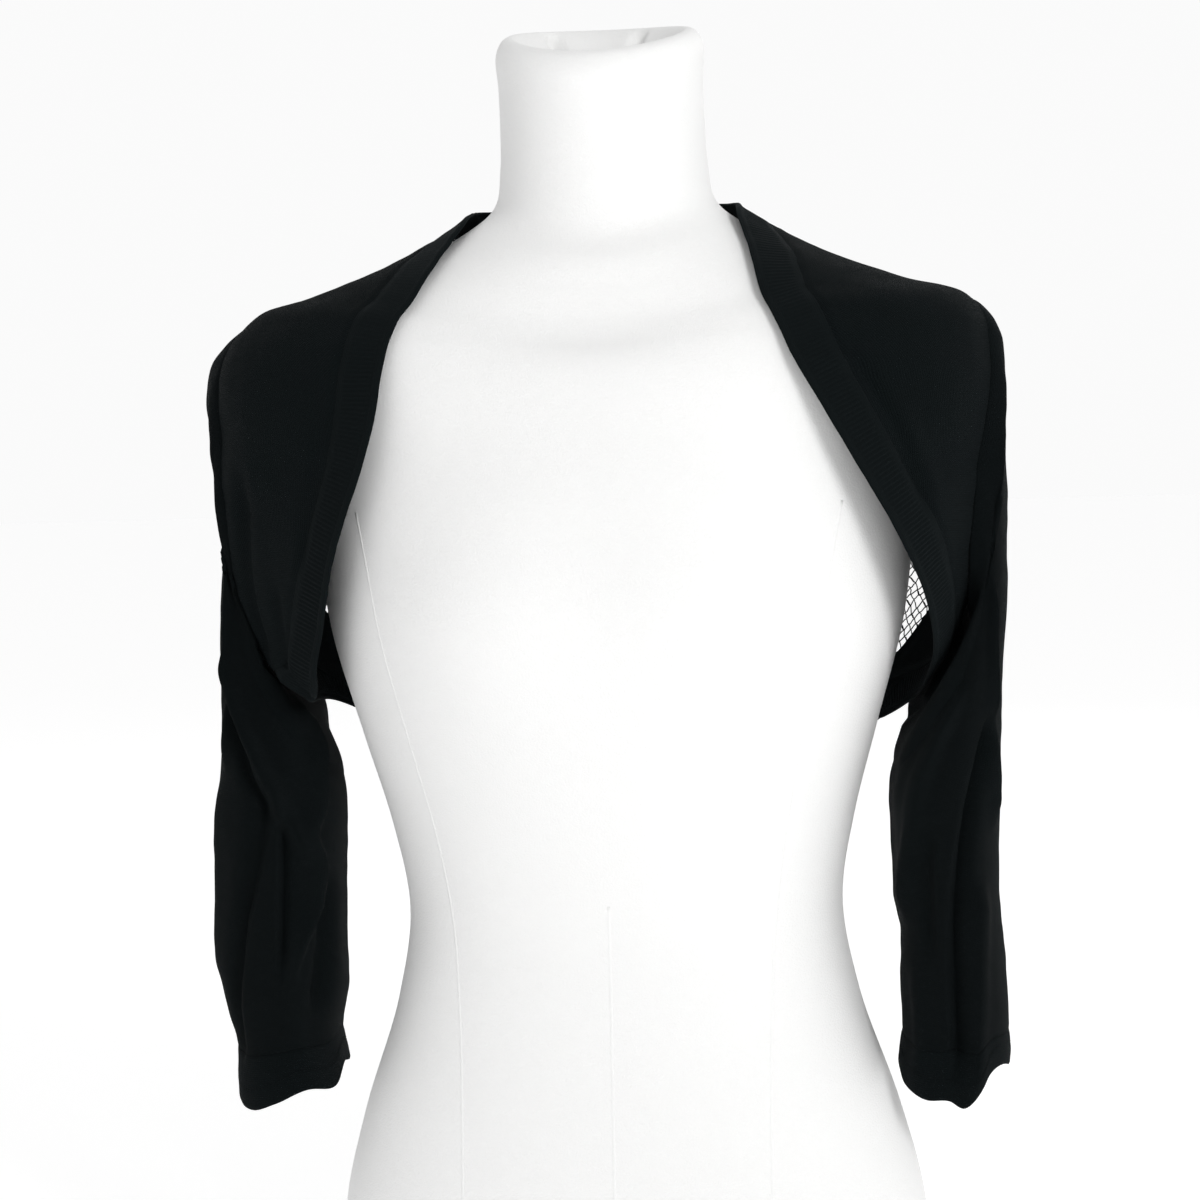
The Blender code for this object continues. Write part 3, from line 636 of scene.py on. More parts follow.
def new_mesh(name, points, faces, uv=None):
    """A mesh object from points in millimetres, with its cloth coordinates in metres."""
    mesh = bpy.data.meshes.new(name)
    faces = faces.tolist() if isinstance(faces, np.ndarray) else faces
    mesh.from_pydata((np.asarray(points).reshape(-1, 3) * MM).tolist(), [], faces)
    mesh.update()
    mesh.shade_smooth()
    if uv is not None:
        layer = mesh.uv_layers.new(name="Cloth")
        corner = np.zeros(len(mesh.loops), np.int32)
        mesh.loops.foreach_get("vertex_index", corner)
        layer.data.foreach_set("uv", (np.asarray(uv).reshape(-1, 2)[corner] * MM).ravel())
    thing = bpy.data.objects.new(name, mesh)
    bpy.context.scene.collection.objects.link(thing)
    return thing


def add_wall(thing, thickness):
    """Gives a cloth surface its thickness, inwards."""
    wall = thing.modifiers.new("Wall", "SOLIDIFY")
    wall.thickness = thickness
    wall.offset = -1.0
    wall.use_even_offset = False


def finish_piece(thing, material, nodes):
    """Gives a piece its material and its place in the frame."""
    thing.data.materials.clear()
    thing.data.materials.append(material)
    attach(thing, "root")
    if nodes:
        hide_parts(*nodes)


def panel_points(grid, side, drapes, relief):
    """Outer face of a panel on the worn form, lifted by its relief."""
    base = cloth_point(grid[..., 0], grid[..., 1], drapes)
    normal = cloth_normal(grid[..., 0], grid[..., 1])
    return mirrored(base + normal * (WALL - 0.1 + relief)[..., None], side)


def girth_uv(grid, points):
    """Cloth coordinates of a panel: its length round the figure, and the height up it."""
    middle = np.radians(grid[..., 0])
    reach = np.hypot(points[..., 0], points[..., 1])
    return np.stack([middle * np.maximum(reach, 150.0), grid[..., 1]], axis=-1)


def front_grid(side):
    """A front: the band seam below, the armhole above, shoulder and side seams at its ends."""
    along = edged(330.0, 1.9)
    up = edged(100.0, 1.9)
    _, seam = band_lines(side, PANEL_STEPS)
    first = PANEL_STEPS.nape
    low = spaced(seam[first : first + PANEL_STEPS.front + 1], along)
    high = spaced(smooth_route(ARM_FRONT), along)
    start = line_between(low[0], high[0], up)
    end = line_between(low[-1], high[-1], up)
    return coons(low, high, start, end, along, up)


def back_lines():
    """The lace back's four sides, and the shares at which they were read."""
    steps = PANEL_STEPS
    rows = []
    for side in SIDES:
        _, seam = band_lines(side, steps)
        back_arm = smooth_route(ARM_BACK)
        arm_foot = smooth_route(ARM_FRONT)[-1]
        side_seam = line_between(seam[steps.nape + steps.front], arm_foot, np.linspace(0, 1, 20))
        shoulder = line_between(back_arm[-1], seam[steps.nape], np.linspace(0, 1, 20))
        rows.append(np.concatenate([side_seam, back_arm[1:], shoulder[1:]]))
    _, right = band_lines("right", steps)
    _, left = band_lines("left", steps)
    first = steps.nape + steps.front
    low = np.concatenate([right[first:], across_back(left[first:])[::-1][1:]])
    high = np.concatenate([right[steps.nape :: -1], across_back(left[: steps.nape + 1])[1:]])
    return low, high, rows[0], across_back(rows[1])


# ---------------------------------------------------------------- sleeves


def tube_point(side, turn, height):
    """Point of the sleeve's plain hanging tube."""
    rings = SLEEVE_RINGS[side]
    outer = column_at(rings, "outer", height)
    inner = column_at(rings, "inner", height)
    across = np.cos(np.radians(turn))
    along = np.sin(np.radians(turn))
    depth = np.where(along > 0, column_at(rings, "front", height), column_at(rings, "back", height))
    width = (outer - inner) / 2
    reach = (np.abs(across) ** TUBE_SQUARE + np.abs(along) ** TUBE_SQUARE) ** (-1 / TUBE_SQUARE)
    x = (outer + inner) / 2 + width * reach * across
    return np.stack([x, -depth * reach * along, height + 0 * x], axis=-1)


def fold_rise(side, turn, height):
    """How far creases and ridges lift a sleeve at a turn round it and a height."""
    turn, height = np.broadcast_arrays(np.asarray(turn, float), np.asarray(height, float))
    rise = np.zeros(turn.shape)
    for fold in SLEEVE_FOLDS[side]:
        heights = [point[1] for point in fold.route][::-1]
        turns = [point[0] for point in fold.route][::-1]
        middle = curve_at(heights, turns, height)
        away = ((turn - middle + 180) % 360 - 180) * MM_PER_DEGREE
        reach = np.where(away < 0, fold.before, fold.after)
        fade = smoothstep(-FOLD_FADE / 2, FOLD_FADE / 2, heights[-1] - height)
        fade = fade * smoothstep(-FOLD_FADE / 2, FOLD_FADE / 2, height - heights[0])
        rise = rise + fold.rise * np.exp(-((away / reach) ** 2)) * fade
    return rise * FOLD_GAIN


def tube_outward(side, turn, height):
    """Level outward direction of the sleeve's tube."""
    turned = tube_point(side, turn + 1.0, height) - tube_point(side, turn - 1.0, height)
    outward = np.stack([-turned[..., 1], turned[..., 0], 0 * turned[..., 2]], axis=-1)
    return outward / np.linalg.norm(outward, axis=-1, keepdims=True)


def folded_tube(side, turn, height):
    """Point of the sleeve's hanging tube with its folds."""
    rise = fold_rise(side, turn, height)[..., None]
    return tube_point(side, turn, height) + tube_outward(side, turn, height) * rise


def hem_height(side, turn):
    """Height of the cuff's lower edge."""
    return column_at(HEMS[side], "height", np.mod(turn, 360))


def cuff_seam(side, turn):
    """Height of the seam between sleeve and cuff."""
    return CUFF_LEVEL + CUFF_DEPTH + (hem_height(side, turn) - CUFF_LEVEL) * CUFF_FOLLOWS


def edge_height(side, angle):
    """Height of the opening's edge under the arm, at an angle."""
    route = smooth_route(EDGE[side])
    lower = route[len(route) // 2 :]
    order = np.argsort(lower[:, 0])
    return np.interp(angle, lower[order, 0], lower[order, 1])


def keep_clear(points, side):
    """Sleeve points moved out where they would meet the body's side."""
    angle = np.degrees(np.arctan2(points[..., 1], points[..., 0]))
    reach = np.hypot(points[..., 0], points[..., 1])
    edge = edge_height(side, angle)
    level = np.clip(points[..., 2], edge, RUN_FLAT)
    body = cloth_point(angle, level, FRONT_DRAPES[side])
    limit = np.hypot(body[..., 0], body[..., 1]) + BODY_CLEAR
    limit = limit - np.maximum(edge - points[..., 2] - HEM_DROP, 0) * HEM_SLOPE
    near = (points[..., 2] < CLEAR_BELOW) & (reach < limit)
    scale = np.where(near, limit / reach, 1.0)
    return points * np.stack([scale, scale, np.ones_like(scale)], axis=-1)


ARM_STEPS = (112, 84)  # stations down the armhole's front, and up its back
CAP_STEPS = 44
TUBE_STEPS = 120
CUFF_STEPS = 16


def sleeve_stations(side):
    """Armhole points on the sleeve's outer face, and the turn of the tube that each runs down to."""
    front = spaced(smooth_route(ARM_FRONT), ARM_STEPS[0])
    back = spaced(smooth_route(ARM_BACK), ARM_STEPS[1])
    loop = np.concatenate([front, back[1:-1]])
    points = cloth_point(loop[:, 0], loop[:, 1], FRONT_DRAPES[side])
    under = int(np.argmin(points[:, 2]))
    down = np.linspace(0, 180, under + 1)
    up = np.linspace(180, 360, len(points) - under + 1)[1:-1]
    lifted = points + cloth_normal(loop[:, 0], loop[:, 1]) * SLEEVE_LIFT
    return lifted, np.concatenate([down, up])


def sleeve_grid(side):
    """Outer face of a sleeve, row by row from the armhole to the cuff seam."""
    start, turn = sleeve_stations(side)
    share = (1 + np.cos(np.radians(turn))) / 2
    top = CAP_FOOT + (CAP_TOP - CAP_FOOT) * share**CAP_LEAN
    end = tube_point(side, turn, top)
    away = np.outer(share, CAP_LEAVES_TOP) + np.outer(1 - share, CAP_LEAVES_UNDERARM)
    away[:, 1] *= np.sin(np.radians(turn))
    span = np.linalg.norm(end - start, axis=1)[:, None]
    leave = away / np.linalg.norm(away, axis=1, keepdims=True) * span * CAP_LEAVE_PULL[side]
    arrive = np.array([0.0, 0.0, -1.0]) * span * CAP_ARRIVE_PULL
    rows = []
    for t in np.linspace(0, 1, CAP_STEPS + 1)[:-1] ** 1.15:
        cap = (
            start * (2 * t**3 - 3 * t**2 + 1)
            + end * (3 * t**2 - 2 * t**3)
            + leave * (t**3 - 2 * t**2 + t)
            + arrive * (t**3 - t**2)
        )
        rise = fold_rise(side, turn, cap[:, 2]) * smoothstep(0.05, 0.6, t)
        rows.append(cap + tube_outward(side, turn, cap[:, 2]) * rise[:, None])
    foot = cuff_seam(side, turn)
    for t in np.linspace(0, 1, TUBE_STEPS + 1):
        rows.append(folded_tube(side, turn, top + (foot - top) * t))
    grid = np.array(rows)
    grid[1:] = keep_clear(grid[1:], side)
    return grid, turn


def cuff_grid(side):
    """Outer face of a cuff, from its seam to its wavy lower edge, flared a little."""
    _, turn = sleeve_stations(side)
    seam = cuff_seam(side, turn)
    hem = hem_height(side, turn)
    rows = []
    for t in np.linspace(0, 1, CUFF_STEPS + 1):
        ring = folded_tube(side, turn, seam + (hem - seam) * t)
        middle = ring.mean(axis=0)
        flare = 1 + CUFF_FLARE * math.sin(math.pi / 2 * min(t / CUFF_FLARE_BY, 1))
        ring[:, :2] = middle[:2] + (ring[:, :2] - middle[:2]) * flare
        rows.append(ring)
    return np.array(rows), turn


# ---------------------------------------------------------------- the lace

LACE_HEIGHT = 1.0  # above the cloth's inner face
LACE_LEVELS = (312.0, 716.0)
WAVE_POINTS = 5


def lace_columns():
    """Dense angles round the back, runs up it, and the points of the cloth there."""
    angles = np.linspace(BACK - 91.0, BACK + 91.0, 1401)
    runs = np.linspace(311.0, NECK_RUN, 291)
    return angles, runs, cloth_point(angles[:, None], runs[None, :])


def wale_lengths(points, runs):
    """Length round the back from its middle, kept along lines that go straight over the shoulders."""
    flat = int(np.argmin(np.abs(runs - RUN_FLAT)))
    ring = points[:, flat]
    length = lengths_along(ring)
    length = length - length[len(length) // 2]
    order = np.argsort(ring[:, 0])
    over = np.interp(points[..., 0], ring[order, 0], length[order])
    return np.where(runs[None, :] <= RUN_FLAT, length[:, None], over)


def row_levels(points):
    """Height up the back, carried on over the shoulders."""
    over = np.clip((points[..., 2] - 530.0) / 60.0, 0, 1)
    return points[..., 2] + 0.55 * np.maximum(0.0, 108.0 - points[..., 1]) * over


def inside(polygon, points):
    """Which (angle, run) points lie inside a closed polygon."""
    x, y = points[..., 0], points[..., 1]
    within = np.zeros(x.shape, bool)
    for (x0, y0), (x1, y1) in zip(polygon, np.roll(polygon, -1, axis=0)):
        if y0 != y1:
            crosses = (y0 > y) != (y1 > y)
            within ^= crosses & (x < (x1 - x0) * (y - y0) / (y1 - y0) + x0)
    return within


def back_outline(steps=150):
    """The lace back's outline as a closed line of (angle, run)."""
    low, high, right, left = back_lines()
    shares = np.linspace(0, 1, steps + 1)
    sides = [spaced(low, shares), spaced(left, shares), spaced(high, shares)[::-1], spaced(right, shares)[::-1]]
    return np.concatenate([line[:-1] for line in sides])


def lace_threads(pitch, row, outline):
    """Waved threads as (points, radii, edges), each thread meeting the ones beside it."""
    angles, runs, points = lace_columns()
    lengths = wale_lengths(points, runs)
    levels = row_levels(points)
    rows = np.arange(LACE_LEVELS[0], LACE_LEVELS[1], row)
    run_at = np.array([np.interp(rows, levels[c], runs) for c in range(len(angles))]).T
    reached = (rows[:, None] >= levels[None, :, 0]) & (rows[:, None] <= levels[None, :, -1])
    climb = np.gradient(run_at, axis=0) / row
    all_points, all_radii, edges = [], [], []
    count = 0
    for k, level in enumerate(rows):
        good = reached[k]
        if good.sum() < 10:
            continue
        where = np.array([np.interp(run_at[k, c], runs, lengths[c]) for c in np.flatnonzero(good)])
        order = np.argsort(where)
        at = np.arange(math.ceil(where.min()), where.max(), pitch / WAVE_POINTS)
        angle = np.interp(at, where[order], angles[good][order])
        run = np.interp(at, where[order], run_at[k][good][order])
        rise = np.interp(at, where[order], climb[k][good][order])
        wave = row / 2 * np.sin(2 * math.pi * at / pitch + math.pi * (k % 2))
        run = np.minimum(run + wave * np.clip(rise, 0.5, 4.0), NECK_RUN)
        plain = cloth_point(angle, run)
        reach = np.hypot(plain[:, 0], plain[:, 1])
        run = run + 0.75 * wander(plain, 9.0, 3.0) + 0.5 * wander(plain, 4.5, 5.0)
        angle = angle + np.degrees((0.75 * wander(plain, 10.0, 7.0)) / reach)
        keep = inside(outline, np.stack([angle, run], axis=-1))
        base = cloth_point(angle, run, BACK_DRAPES) + cloth_normal(angle, run) * LACE_HEIGHT
        base = base + cloth_normal(angle, run) * (0.5 * wander(plain, 34.0, 1.0))[:, None]
        motif = np.clip(np.cos(math.pi * at / 7.0) * np.cos(math.pi * level / 6.8), 0, 1) ** 3
        number = np.where(keep, count + np.cumsum(keep) - 1, -1)
        both = keep[:-1] & keep[1:]
        edges.append(np.stack([number[:-1][both], number[1:][both]], axis=-1))
        all_points.append(base[keep])
        all_radii.append((0.43 + 0.30 * motif)[keep])
        count += int(keep.sum())
    return np.concatenate(all_points), np.concatenate(all_radii), np.concatenate(edges)


BORDER = 4.8  # the plain knitted edge round the lace
GUSSET = 36.0  # and how much wider it is below the arms
GUSSET_ASIDE = (42, 58)  # degrees from the middle of the back over which it widens
GUSSET_LOW = 0.35  # its share of that width at the hem
GUSSET_RISE = (372, 408)  # runs over which it reaches the whole width
GUSSET_FADE = (490, 560)  # and over which it ends
BORDER_ROWS = (0.0, 0.06, 0.15, 0.3, 0.45, 0.6, 0.75, 0.88, 0.96, 1.0)


def border_widths(outline):
    """Width of the plain edge at each point of the lace's outline: wider below the arms."""
    angle, run = outline[:, 0], outline[:, 1]
    aside = smoothstep(*GUSSET_ASIDE, np.abs(angle - BACK))
    rise = GUSSET_LOW + (1 - GUSSET_LOW) * smoothstep(*GUSSET_RISE, run)
    rise = rise * (1 - smoothstep(*GUSSET_FADE, run))
    return BORDER + GUSSET * aside * rise


def inset_ring(outline, distance):
    """A closed outline moved inwards on the cloth."""
    padded = np.concatenate([outline[-3:], outline, outline[:3]])
    amount = np.concatenate([distance[-3:], distance, distance[:3]])
    return set_in(padded, -amount)[3:-3]


# ---------------------------------------------------------------- geometry nodes


def node_tree(name):
    """An empty Geometry Nodes group that takes and gives a mesh."""
    tree = bpy.data.node_groups.new(name, "GeometryNodeTree")
    tree.interface.new_socket("Geometry", in_out="INPUT", socket_type="NodeSocketGeometry")
    tree.interface.new_socket("Geometry", in_out="OUTPUT", socket_type="NodeSocketGeometry")
    tree.nodes.new("NodeGroupInput")
    tree.nodes.new("NodeGroupOutput")
    return tree


def tree_input(tree, name, kind, value):
    """Adds a named input to a group, with its starting value."""
    socket = tree.interface.new_socket(name, in_out="INPUT", socket_type=kind)
    if value is not None:
        socket.default_value = value
    return socket


def thread_tree(material):
    """Turns edges into round threads as thick as their points say."""
    tree = node_tree("Threads")
    tree_input(tree, "Sides", "NodeSocketInt", 3)
    links, nodes = tree.links, tree.nodes
    source, target = nodes["Group Input"], nodes["Group Output"]
    curve = nodes.new("GeometryNodeMeshToCurve")
    radius = nodes.new("GeometryNodeInputNamedAttribute")
    radius.data_type = "FLOAT"
    radius.inputs["Name"].default_value = "thread"
    sized = nodes.new("GeometryNodeSetCurveRadius")
    circle = nodes.new("GeometryNodeCurvePrimitiveCircle")
    circle.inputs["Radius"].default_value = 1.0
    solid = nodes.new("GeometryNodeCurveToMesh")
    solid.inputs["Fill Caps"].default_value = True
    smooth = nodes.new("GeometryNodeSetShadeSmooth")
    painted = nodes.new("GeometryNodeSetMaterial")
    painted.inputs["Material"].default_value = material
    links.new(source.outputs["Geometry"], curve.inputs[0])
    links.new(curve.outputs[0], sized.inputs["Curve"])
    links.new(radius.outputs["Attribute"], sized.inputs["Radius"])
    links.new(source.outputs["Sides"], circle.inputs["Resolution"])
    links.new(sized.outputs[0], solid.inputs["Curve"])
    links.new(circle.outputs[0], solid.inputs["Profile Curve"])
    if "Scale" in solid.inputs:
        links.new(radius.outputs["Attribute"], solid.inputs["Scale"])
    links.new(solid.outputs[0], smooth.inputs[0])
    links.new(smooth.outputs[0], painted.inputs["Geometry"])
    links.new(painted.outputs[0], target.inputs["Geometry"])
    return tree


def stitch_tree(material):
    """Sews stitches along edges: small flattened beads, one each pitch."""
    tree = node_tree("Stitches along")
    tree_input(tree, "Pitch", "NodeSocketFloat", 0.0025)
    tree_input(tree, "Long", "NodeSocketFloat", 0.0011)
    tree_input(tree, "Wide", "NodeSocketFloat", 0.0004)
    links, nodes = tree.links, tree.nodes
    source, target = nodes["Group Input"], nodes["Group Output"]
    curve = nodes.new("GeometryNodeMeshToCurve")
    points = nodes.new("GeometryNodeCurveToPoints")
    points.mode = "LENGTH"
    bead = nodes.new("GeometryNodeMeshUVSphere")
    bead.inputs["Segments"].default_value = 6
    bead.inputs["Rings"].default_value = 4
    bead.inputs["Radius"].default_value = 1.0
    size = nodes.new("ShaderNodeCombineXYZ")
    placed = nodes.new("GeometryNodeInstanceOnPoints")
    real = nodes.new("GeometryNodeRealizeInstances")
    smooth = nodes.new("GeometryNodeSetShadeSmooth")
    painted = nodes.new("GeometryNodeSetMaterial")
    painted.inputs["Material"].default_value = material
    links.new(source.outputs["Geometry"], curve.inputs[0])
    links.new(curve.outputs[0], points.inputs["Curve"])
    links.new(source.outputs["Pitch"], points.inputs["Length"])
    links.new(points.outputs["Points"], placed.inputs["Points"])
    links.new(points.outputs["Rotation"], placed.inputs["Rotation"])
    links.new(bead.outputs["Mesh"], placed.inputs["Instance"])
    links.new(source.outputs["Wide"], size.inputs["X"])
    links.new(source.outputs["Wide"], size.inputs["Y"])
    links.new(source.outputs["Long"], size.inputs["Z"])
    links.new(size.outputs[0], placed.inputs["Scale"])
    links.new(placed.outputs[0], real.inputs[0])
    links.new(real.outputs[0], smooth.inputs[0])
    links.new(smooth.outputs[0], painted.inputs["Geometry"])
    links.new(painted.outputs[0], target.inputs["Geometry"])
    return tree


def grown(name, source, tree, values):
    """The mesh that a Geometry Nodes group makes from a source object, as a new object."""
    modifier = source.modifiers.new("Nodes", "NODES")
    for item in tree.interface.items_tree:
        if item.in_out == "INPUT" and item.name in values:
            modifier[item.identifier] = values[item.name]
    modifier.node_group = tree
    for item in tree.interface.items_tree:
        if item.in_out == "INPUT" and item.name in values:
            modifier[item.identifier] = values[item.name]
    graph = bpy.context.evaluated_depsgraph_get()
    graph.update()
    mesh = bpy.data.meshes.new_from_object(source.evaluated_get(graph), depsgraph=graph)
    mesh.name = name
    thing = bpy.data.objects.new(name, mesh)
    bpy.context.scene.collection.objects.link(thing)
    bpy.data.objects.remove(source, do_unlink=True)
    if not mesh.polygons:
        raise RuntimeError(f"{name} grew no faces")
    return thing


def line_object(name, points, edges, radii=None):
    """A mesh of edges only, with each point's thread radius in metres."""
    mesh = bpy.data.meshes.new(name)
    mesh.from_pydata((np.asarray(points) * MM).tolist(), np.asarray(edges).tolist(), [])
    if radii is not None:
        layer = mesh.attributes.new("thread", "FLOAT", "POINT")
        layer.data.foreach_set("value", np.asarray(radii, np.float32) * MM)
    mesh.update()
    thing = bpy.data.objects.new(name, mesh)
    bpy.context.scene.collection.objects.link(thing)
    return thing


def open_lines(lines):
    """Several lines of points as one set of points and edges."""
    points = np.concatenate(lines)
    edges = []
    first = 0
    for line in lines:
        number = np.arange(first, first + len(line))
        edges.append(np.stack([number[:-1], number[1:]], axis=-1))
        first += len(line)
    return points, np.concatenate(edges)


# ---------------------------------------------------------------- materials


def maths(tree, operation, *values):
    """A maths node on sockets or numbers, and its output."""
    node = tree.nodes.new("ShaderNodeMath")
    node.operation = operation
    for socket, value in zip(node.inputs, values):
        if isinstance(value, (int, float)):
            socket.default_value = value
        else:
            tree.links.new(value, socket)
    return node.outputs[0]


def stitch_group():
    """Height of knit stitches on cloth coordinates in metres, and a colour factor: random tone, with painted
    shade that darkens the hollows between stitches.
    """
    tree = bpy.data.node_groups.new("Knit stitches", "ShaderNodeTree")
    tree.interface.new_socket("Vector", in_out="INPUT", socket_type="NodeSocketVector")
    wale = tree.interface.new_socket("Wale", in_out="INPUT", socket_type="NodeSocketFloat")
    wale.default_value = 0.0016
    course = tree.interface.new_socket("Course", in_out="INPUT", socket_type="NodeSocketFloat")
    course.default_value = 0.0013
    tree.interface.new_socket("Height", in_out="OUTPUT", socket_type="NodeSocketFloat")
    tree.interface.new_socket("Shade", in_out="OUTPUT", socket_type="NodeSocketFloat")
    source = tree.nodes.new("NodeGroupInput")
    target = tree.nodes.new("NodeGroupOutput")
    axes = tree.nodes.new("ShaderNodeSeparateXYZ")
    tree.links.new(source.outputs["Vector"], axes.inputs[0])
    across = maths(tree, "DIVIDE", axes.outputs["X"], source.outputs["Wale"])
    up = maths(tree, "DIVIDE", axes.outputs["Y"], source.outputs["Course"])
    leg = maths(tree, "PINGPONG", across, 0.5)
    leg = maths(tree, "MULTIPLY", leg, 2.0)
    ridge = maths(tree, "SINE", maths(tree, "MULTIPLY", leg, math.pi))
    slant = maths(tree, "ADD", up, maths(tree, "MULTIPLY", leg, 0.6))
    beat = maths(tree, "COSINE", maths(tree, "MULTIPLY", slant, 2 * math.pi))
    beat = maths(tree, "MULTIPLY_ADD", beat, 0.35, 0.65)
    height = maths(tree, "MULTIPLY", ridge, beat)
    tree.links.new(height, target.inputs["Height"])
    noise = tree.nodes.new("ShaderNodeTexNoise")
    noise.inputs["Scale"].default_value = 900.0
    noise.inputs["Detail"].default_value = 2.0
    tree.links.new(source.outputs["Vector"], noise.inputs["Vector"])
    # Colour factor: low stitch height darkens the hollows between stitches as painted shade, and the noise adds
    # random tone.
    shade = maths(tree, "MULTIPLY_ADD", height, 0.45, maths(tree, "MULTIPLY_ADD", noise.outputs[0], 0.5, 0.45))
    tree.links.new(shade, target.inputs["Shade"])
    return tree


def plain_shader(name, colour, roughness, sheen, sheen_tint, level):
    """A cloth material, with its constants set on the shader itself."""
    material = bpy.data.materials.new(name)
    material.use_nodes = True
    material.diffuse_color = (*colour, 1.0)
    shader = material.node_tree.nodes["Principled BSDF"]
    shader.inputs["Base Color"].default_value = (*colour, 1.0)
    shader.inputs["Roughness"].default_value = roughness
    shader.inputs["Specular IOR Level"].default_value = level
    shader.inputs["Sheen Weight"].default_value = sheen
    shader.inputs["Sheen Roughness"].default_value = 0.55
    shader.inputs["Sheen Tint"].default_value = (*sheen_tint, 1.0)
    return material, shader


def mixed_colour(tree, factor, low, high):
    """A colour between two, as a factor says."""
    mix = tree.nodes.new("ShaderNodeMix")
    mix.data_type = "RGBA"
    mix.inputs["A"].default_value = (*low, 1.0)
    mix.inputs["B"].default_value = (*high, 1.0)
    tree.links.new(factor, mix.inputs["Factor"])
    return mix.outputs["Result"]


def bumped(tree, shader, height, distance, strength=1.0):
    """Feeds a height in units of distance into a shader's normal."""
    bump = tree.nodes.new("ShaderNodeBump")
    bump.inputs["Strength"].default_value = strength
    bump.inputs["Distance"].default_value = distance
    tree.links.new(height, bump.inputs["Height"])
    tree.links.new(bump.outputs[0], shader.inputs["Normal"])


def knit_material(name, stitches, colour, wale, course, depth, sheen):
    """Black knit with its stitches along the cloth coordinates, its colour darkened in the stitch hollows as
    painted shade and varied at random.
    """
    material, shader = plain_shader(name, colour, 0.82, sheen, (0.78, 0.92, 1.0), 0.035)
    tree = material.node_tree
    coords = tree.nodes.new("ShaderNodeUVMap")
    coords.uv_map = "Cloth"
    group = tree.nodes.new("ShaderNodeGroup")
    group.node_tree = stitches
    group.inputs["Wale"].default_value = wale
    group.inputs["Course"].default_value = course
    tree.links.new(coords.outputs["UV"], group.inputs["Vector"])
    # Painted shade: darker colour in the stitch hollows and lighter on the stitch tops, with random tone mixed
    # in.
    low = tuple(c * 0.35 for c in colour)
    high = tuple(c * 1.5 for c in colour)
    tree.links.new(mixed_colour(tree, group.outputs["Shade"], low, high), shader.inputs["Base Color"])
    bumped(tree, shader, group.outputs["Height"], depth)
    return material


def yarn_material(name, colour, sheen):
    """Thread, a little uneven in colour."""
    material, shader = plain_shader(name, colour, 0.8, sheen, (0.8, 0.92, 1.0), 0.04)
    tree = material.node_tree
    place = tree.nodes.new("ShaderNodeTexCoord")
    noise = tree.nodes.new("ShaderNodeTexNoise")
    noise.inputs["Scale"].default_value = 1400.0
    noise.inputs["Detail"].default_value = 2.0
    tree.links.new(place.outputs["Object"], noise.inputs["Vector"])
    low = tuple(c * 0.5 for c in colour)
    high = tuple(c * 1.4 for c in colour)
    tree.links.new(mixed_colour(tree, noise.outputs[0], low, high), shader.inputs["Base Color"])
    bumped(tree, shader, noise.outputs[0], 0.0002)
    return material


def jersey_material(name, colour):
    """White jersey: a fine grain, a few darker pills, and soft darker blotches at random."""
    material, shader = plain_shader(name, colour, 0.9, 0.15, (1.0, 1.0, 1.0), 0.2)
    tree = material.node_tree
    place = tree.nodes.new("ShaderNodeTexCoord")
    grain = tree.nodes.new("ShaderNodeTexNoise")
    grain.inputs["Scale"].default_value = 950.0
    grain.inputs["Detail"].default_value = 3.0
    tree.links.new(place.outputs["Object"], grain.inputs["Vector"])
    wide = tree.nodes.new("ShaderNodeTexNoise")
    wide.inputs["Scale"].default_value = 22.0
    wide.inputs["Detail"].default_value = 3.0
    tree.links.new(place.outputs["Object"], wide.inputs["Vector"])
    specks = tree.nodes.new("ShaderNodeTexVoronoi")
    specks.inputs["Scale"].default_value = 75.0
    tree.links.new(place.outputs["Object"], specks.inputs["Vector"])
    spot = maths(tree, "LESS_THAN", specks.outputs["Distance"], 0.045)
    factor = maths(tree, "MULTIPLY_ADD", grain.outputs[0], 0.10, maths(tree, "MULTIPLY", wide.outputs[0], 0.06))
    factor = maths(tree, "MULTIPLY_ADD", spot, 0.12, factor)
    low = colour
    high = tuple(c * 0.80 for c in colour)
    tree.links.new(mixed_colour(tree, factor, low, high), shader.inputs["Base Color"])
    height = maths(tree, "MULTIPLY_ADD", wide.outputs[0], 1.5, grain.outputs[0])
    bumped(tree, shader, height, 0.00025)
    return material


# ---------------------------------------------------------------- the dress form


def form_point(angle, run):
    """Point of the dress form's body at an angle and a run."""
    angle = np.asarray(angle, float)
    point = sections_point(FORM_SECTIONS, angle, run)
    lobes = 0.0
    for middle in (-90 - BUST_TURN, -90 + BUST_TURN):
        lobes = lobes + np.exp(-(((angle - middle) / BUST_SPREAD) ** 2))
    rise = BUST_RISE * np.exp(-(((run - BUST_HEIGHT) / BUST_REACH) ** 2)) * lobes
    reach = np.hypot(point[..., 0], point[..., 1])
    point[..., :2] *= (1 + rise / reach)[..., None]
    return point


def form_normal(angle, run):
    """Outward normal of the dress form's body."""
    step = SLOPE_STEP
    turn = form_point(angle + step, run) - form_point(angle - step, run)
    rise = form_point(angle, run + step) - form_point(angle, run - step)
    normal = np.cross(turn, rise)
    return normal / np.linalg.norm(normal, axis=-1, keepdims=True)


def through(rings, each):
    """Rings between rings, on smooth curves through them."""
    rings = np.asarray(rings)
    slopes = np.gradient(rings, axis=0)
    found = []
    for k in range(len(rings) - 1):
        for t in np.arange(each) / each:
            found.append(
                rings[k] * (2 * t**3 - 3 * t**2 + 1)
                + rings[k + 1] * (3 * t**2 - 2 * t**3)
                + slopes[k] * (t**3 - 2 * t**2 + t)
                + slopes[k + 1] * (t**3 - t**2)
            )
    return found + [rings[-1]]


FORM_TURNS = 200
FORM_LEVELS = 150
FORM_TUCKS = ((133.0, 5.5, 9.0), (66.0, 5.0, 8.0), (255.0, 7.0, 4.0))


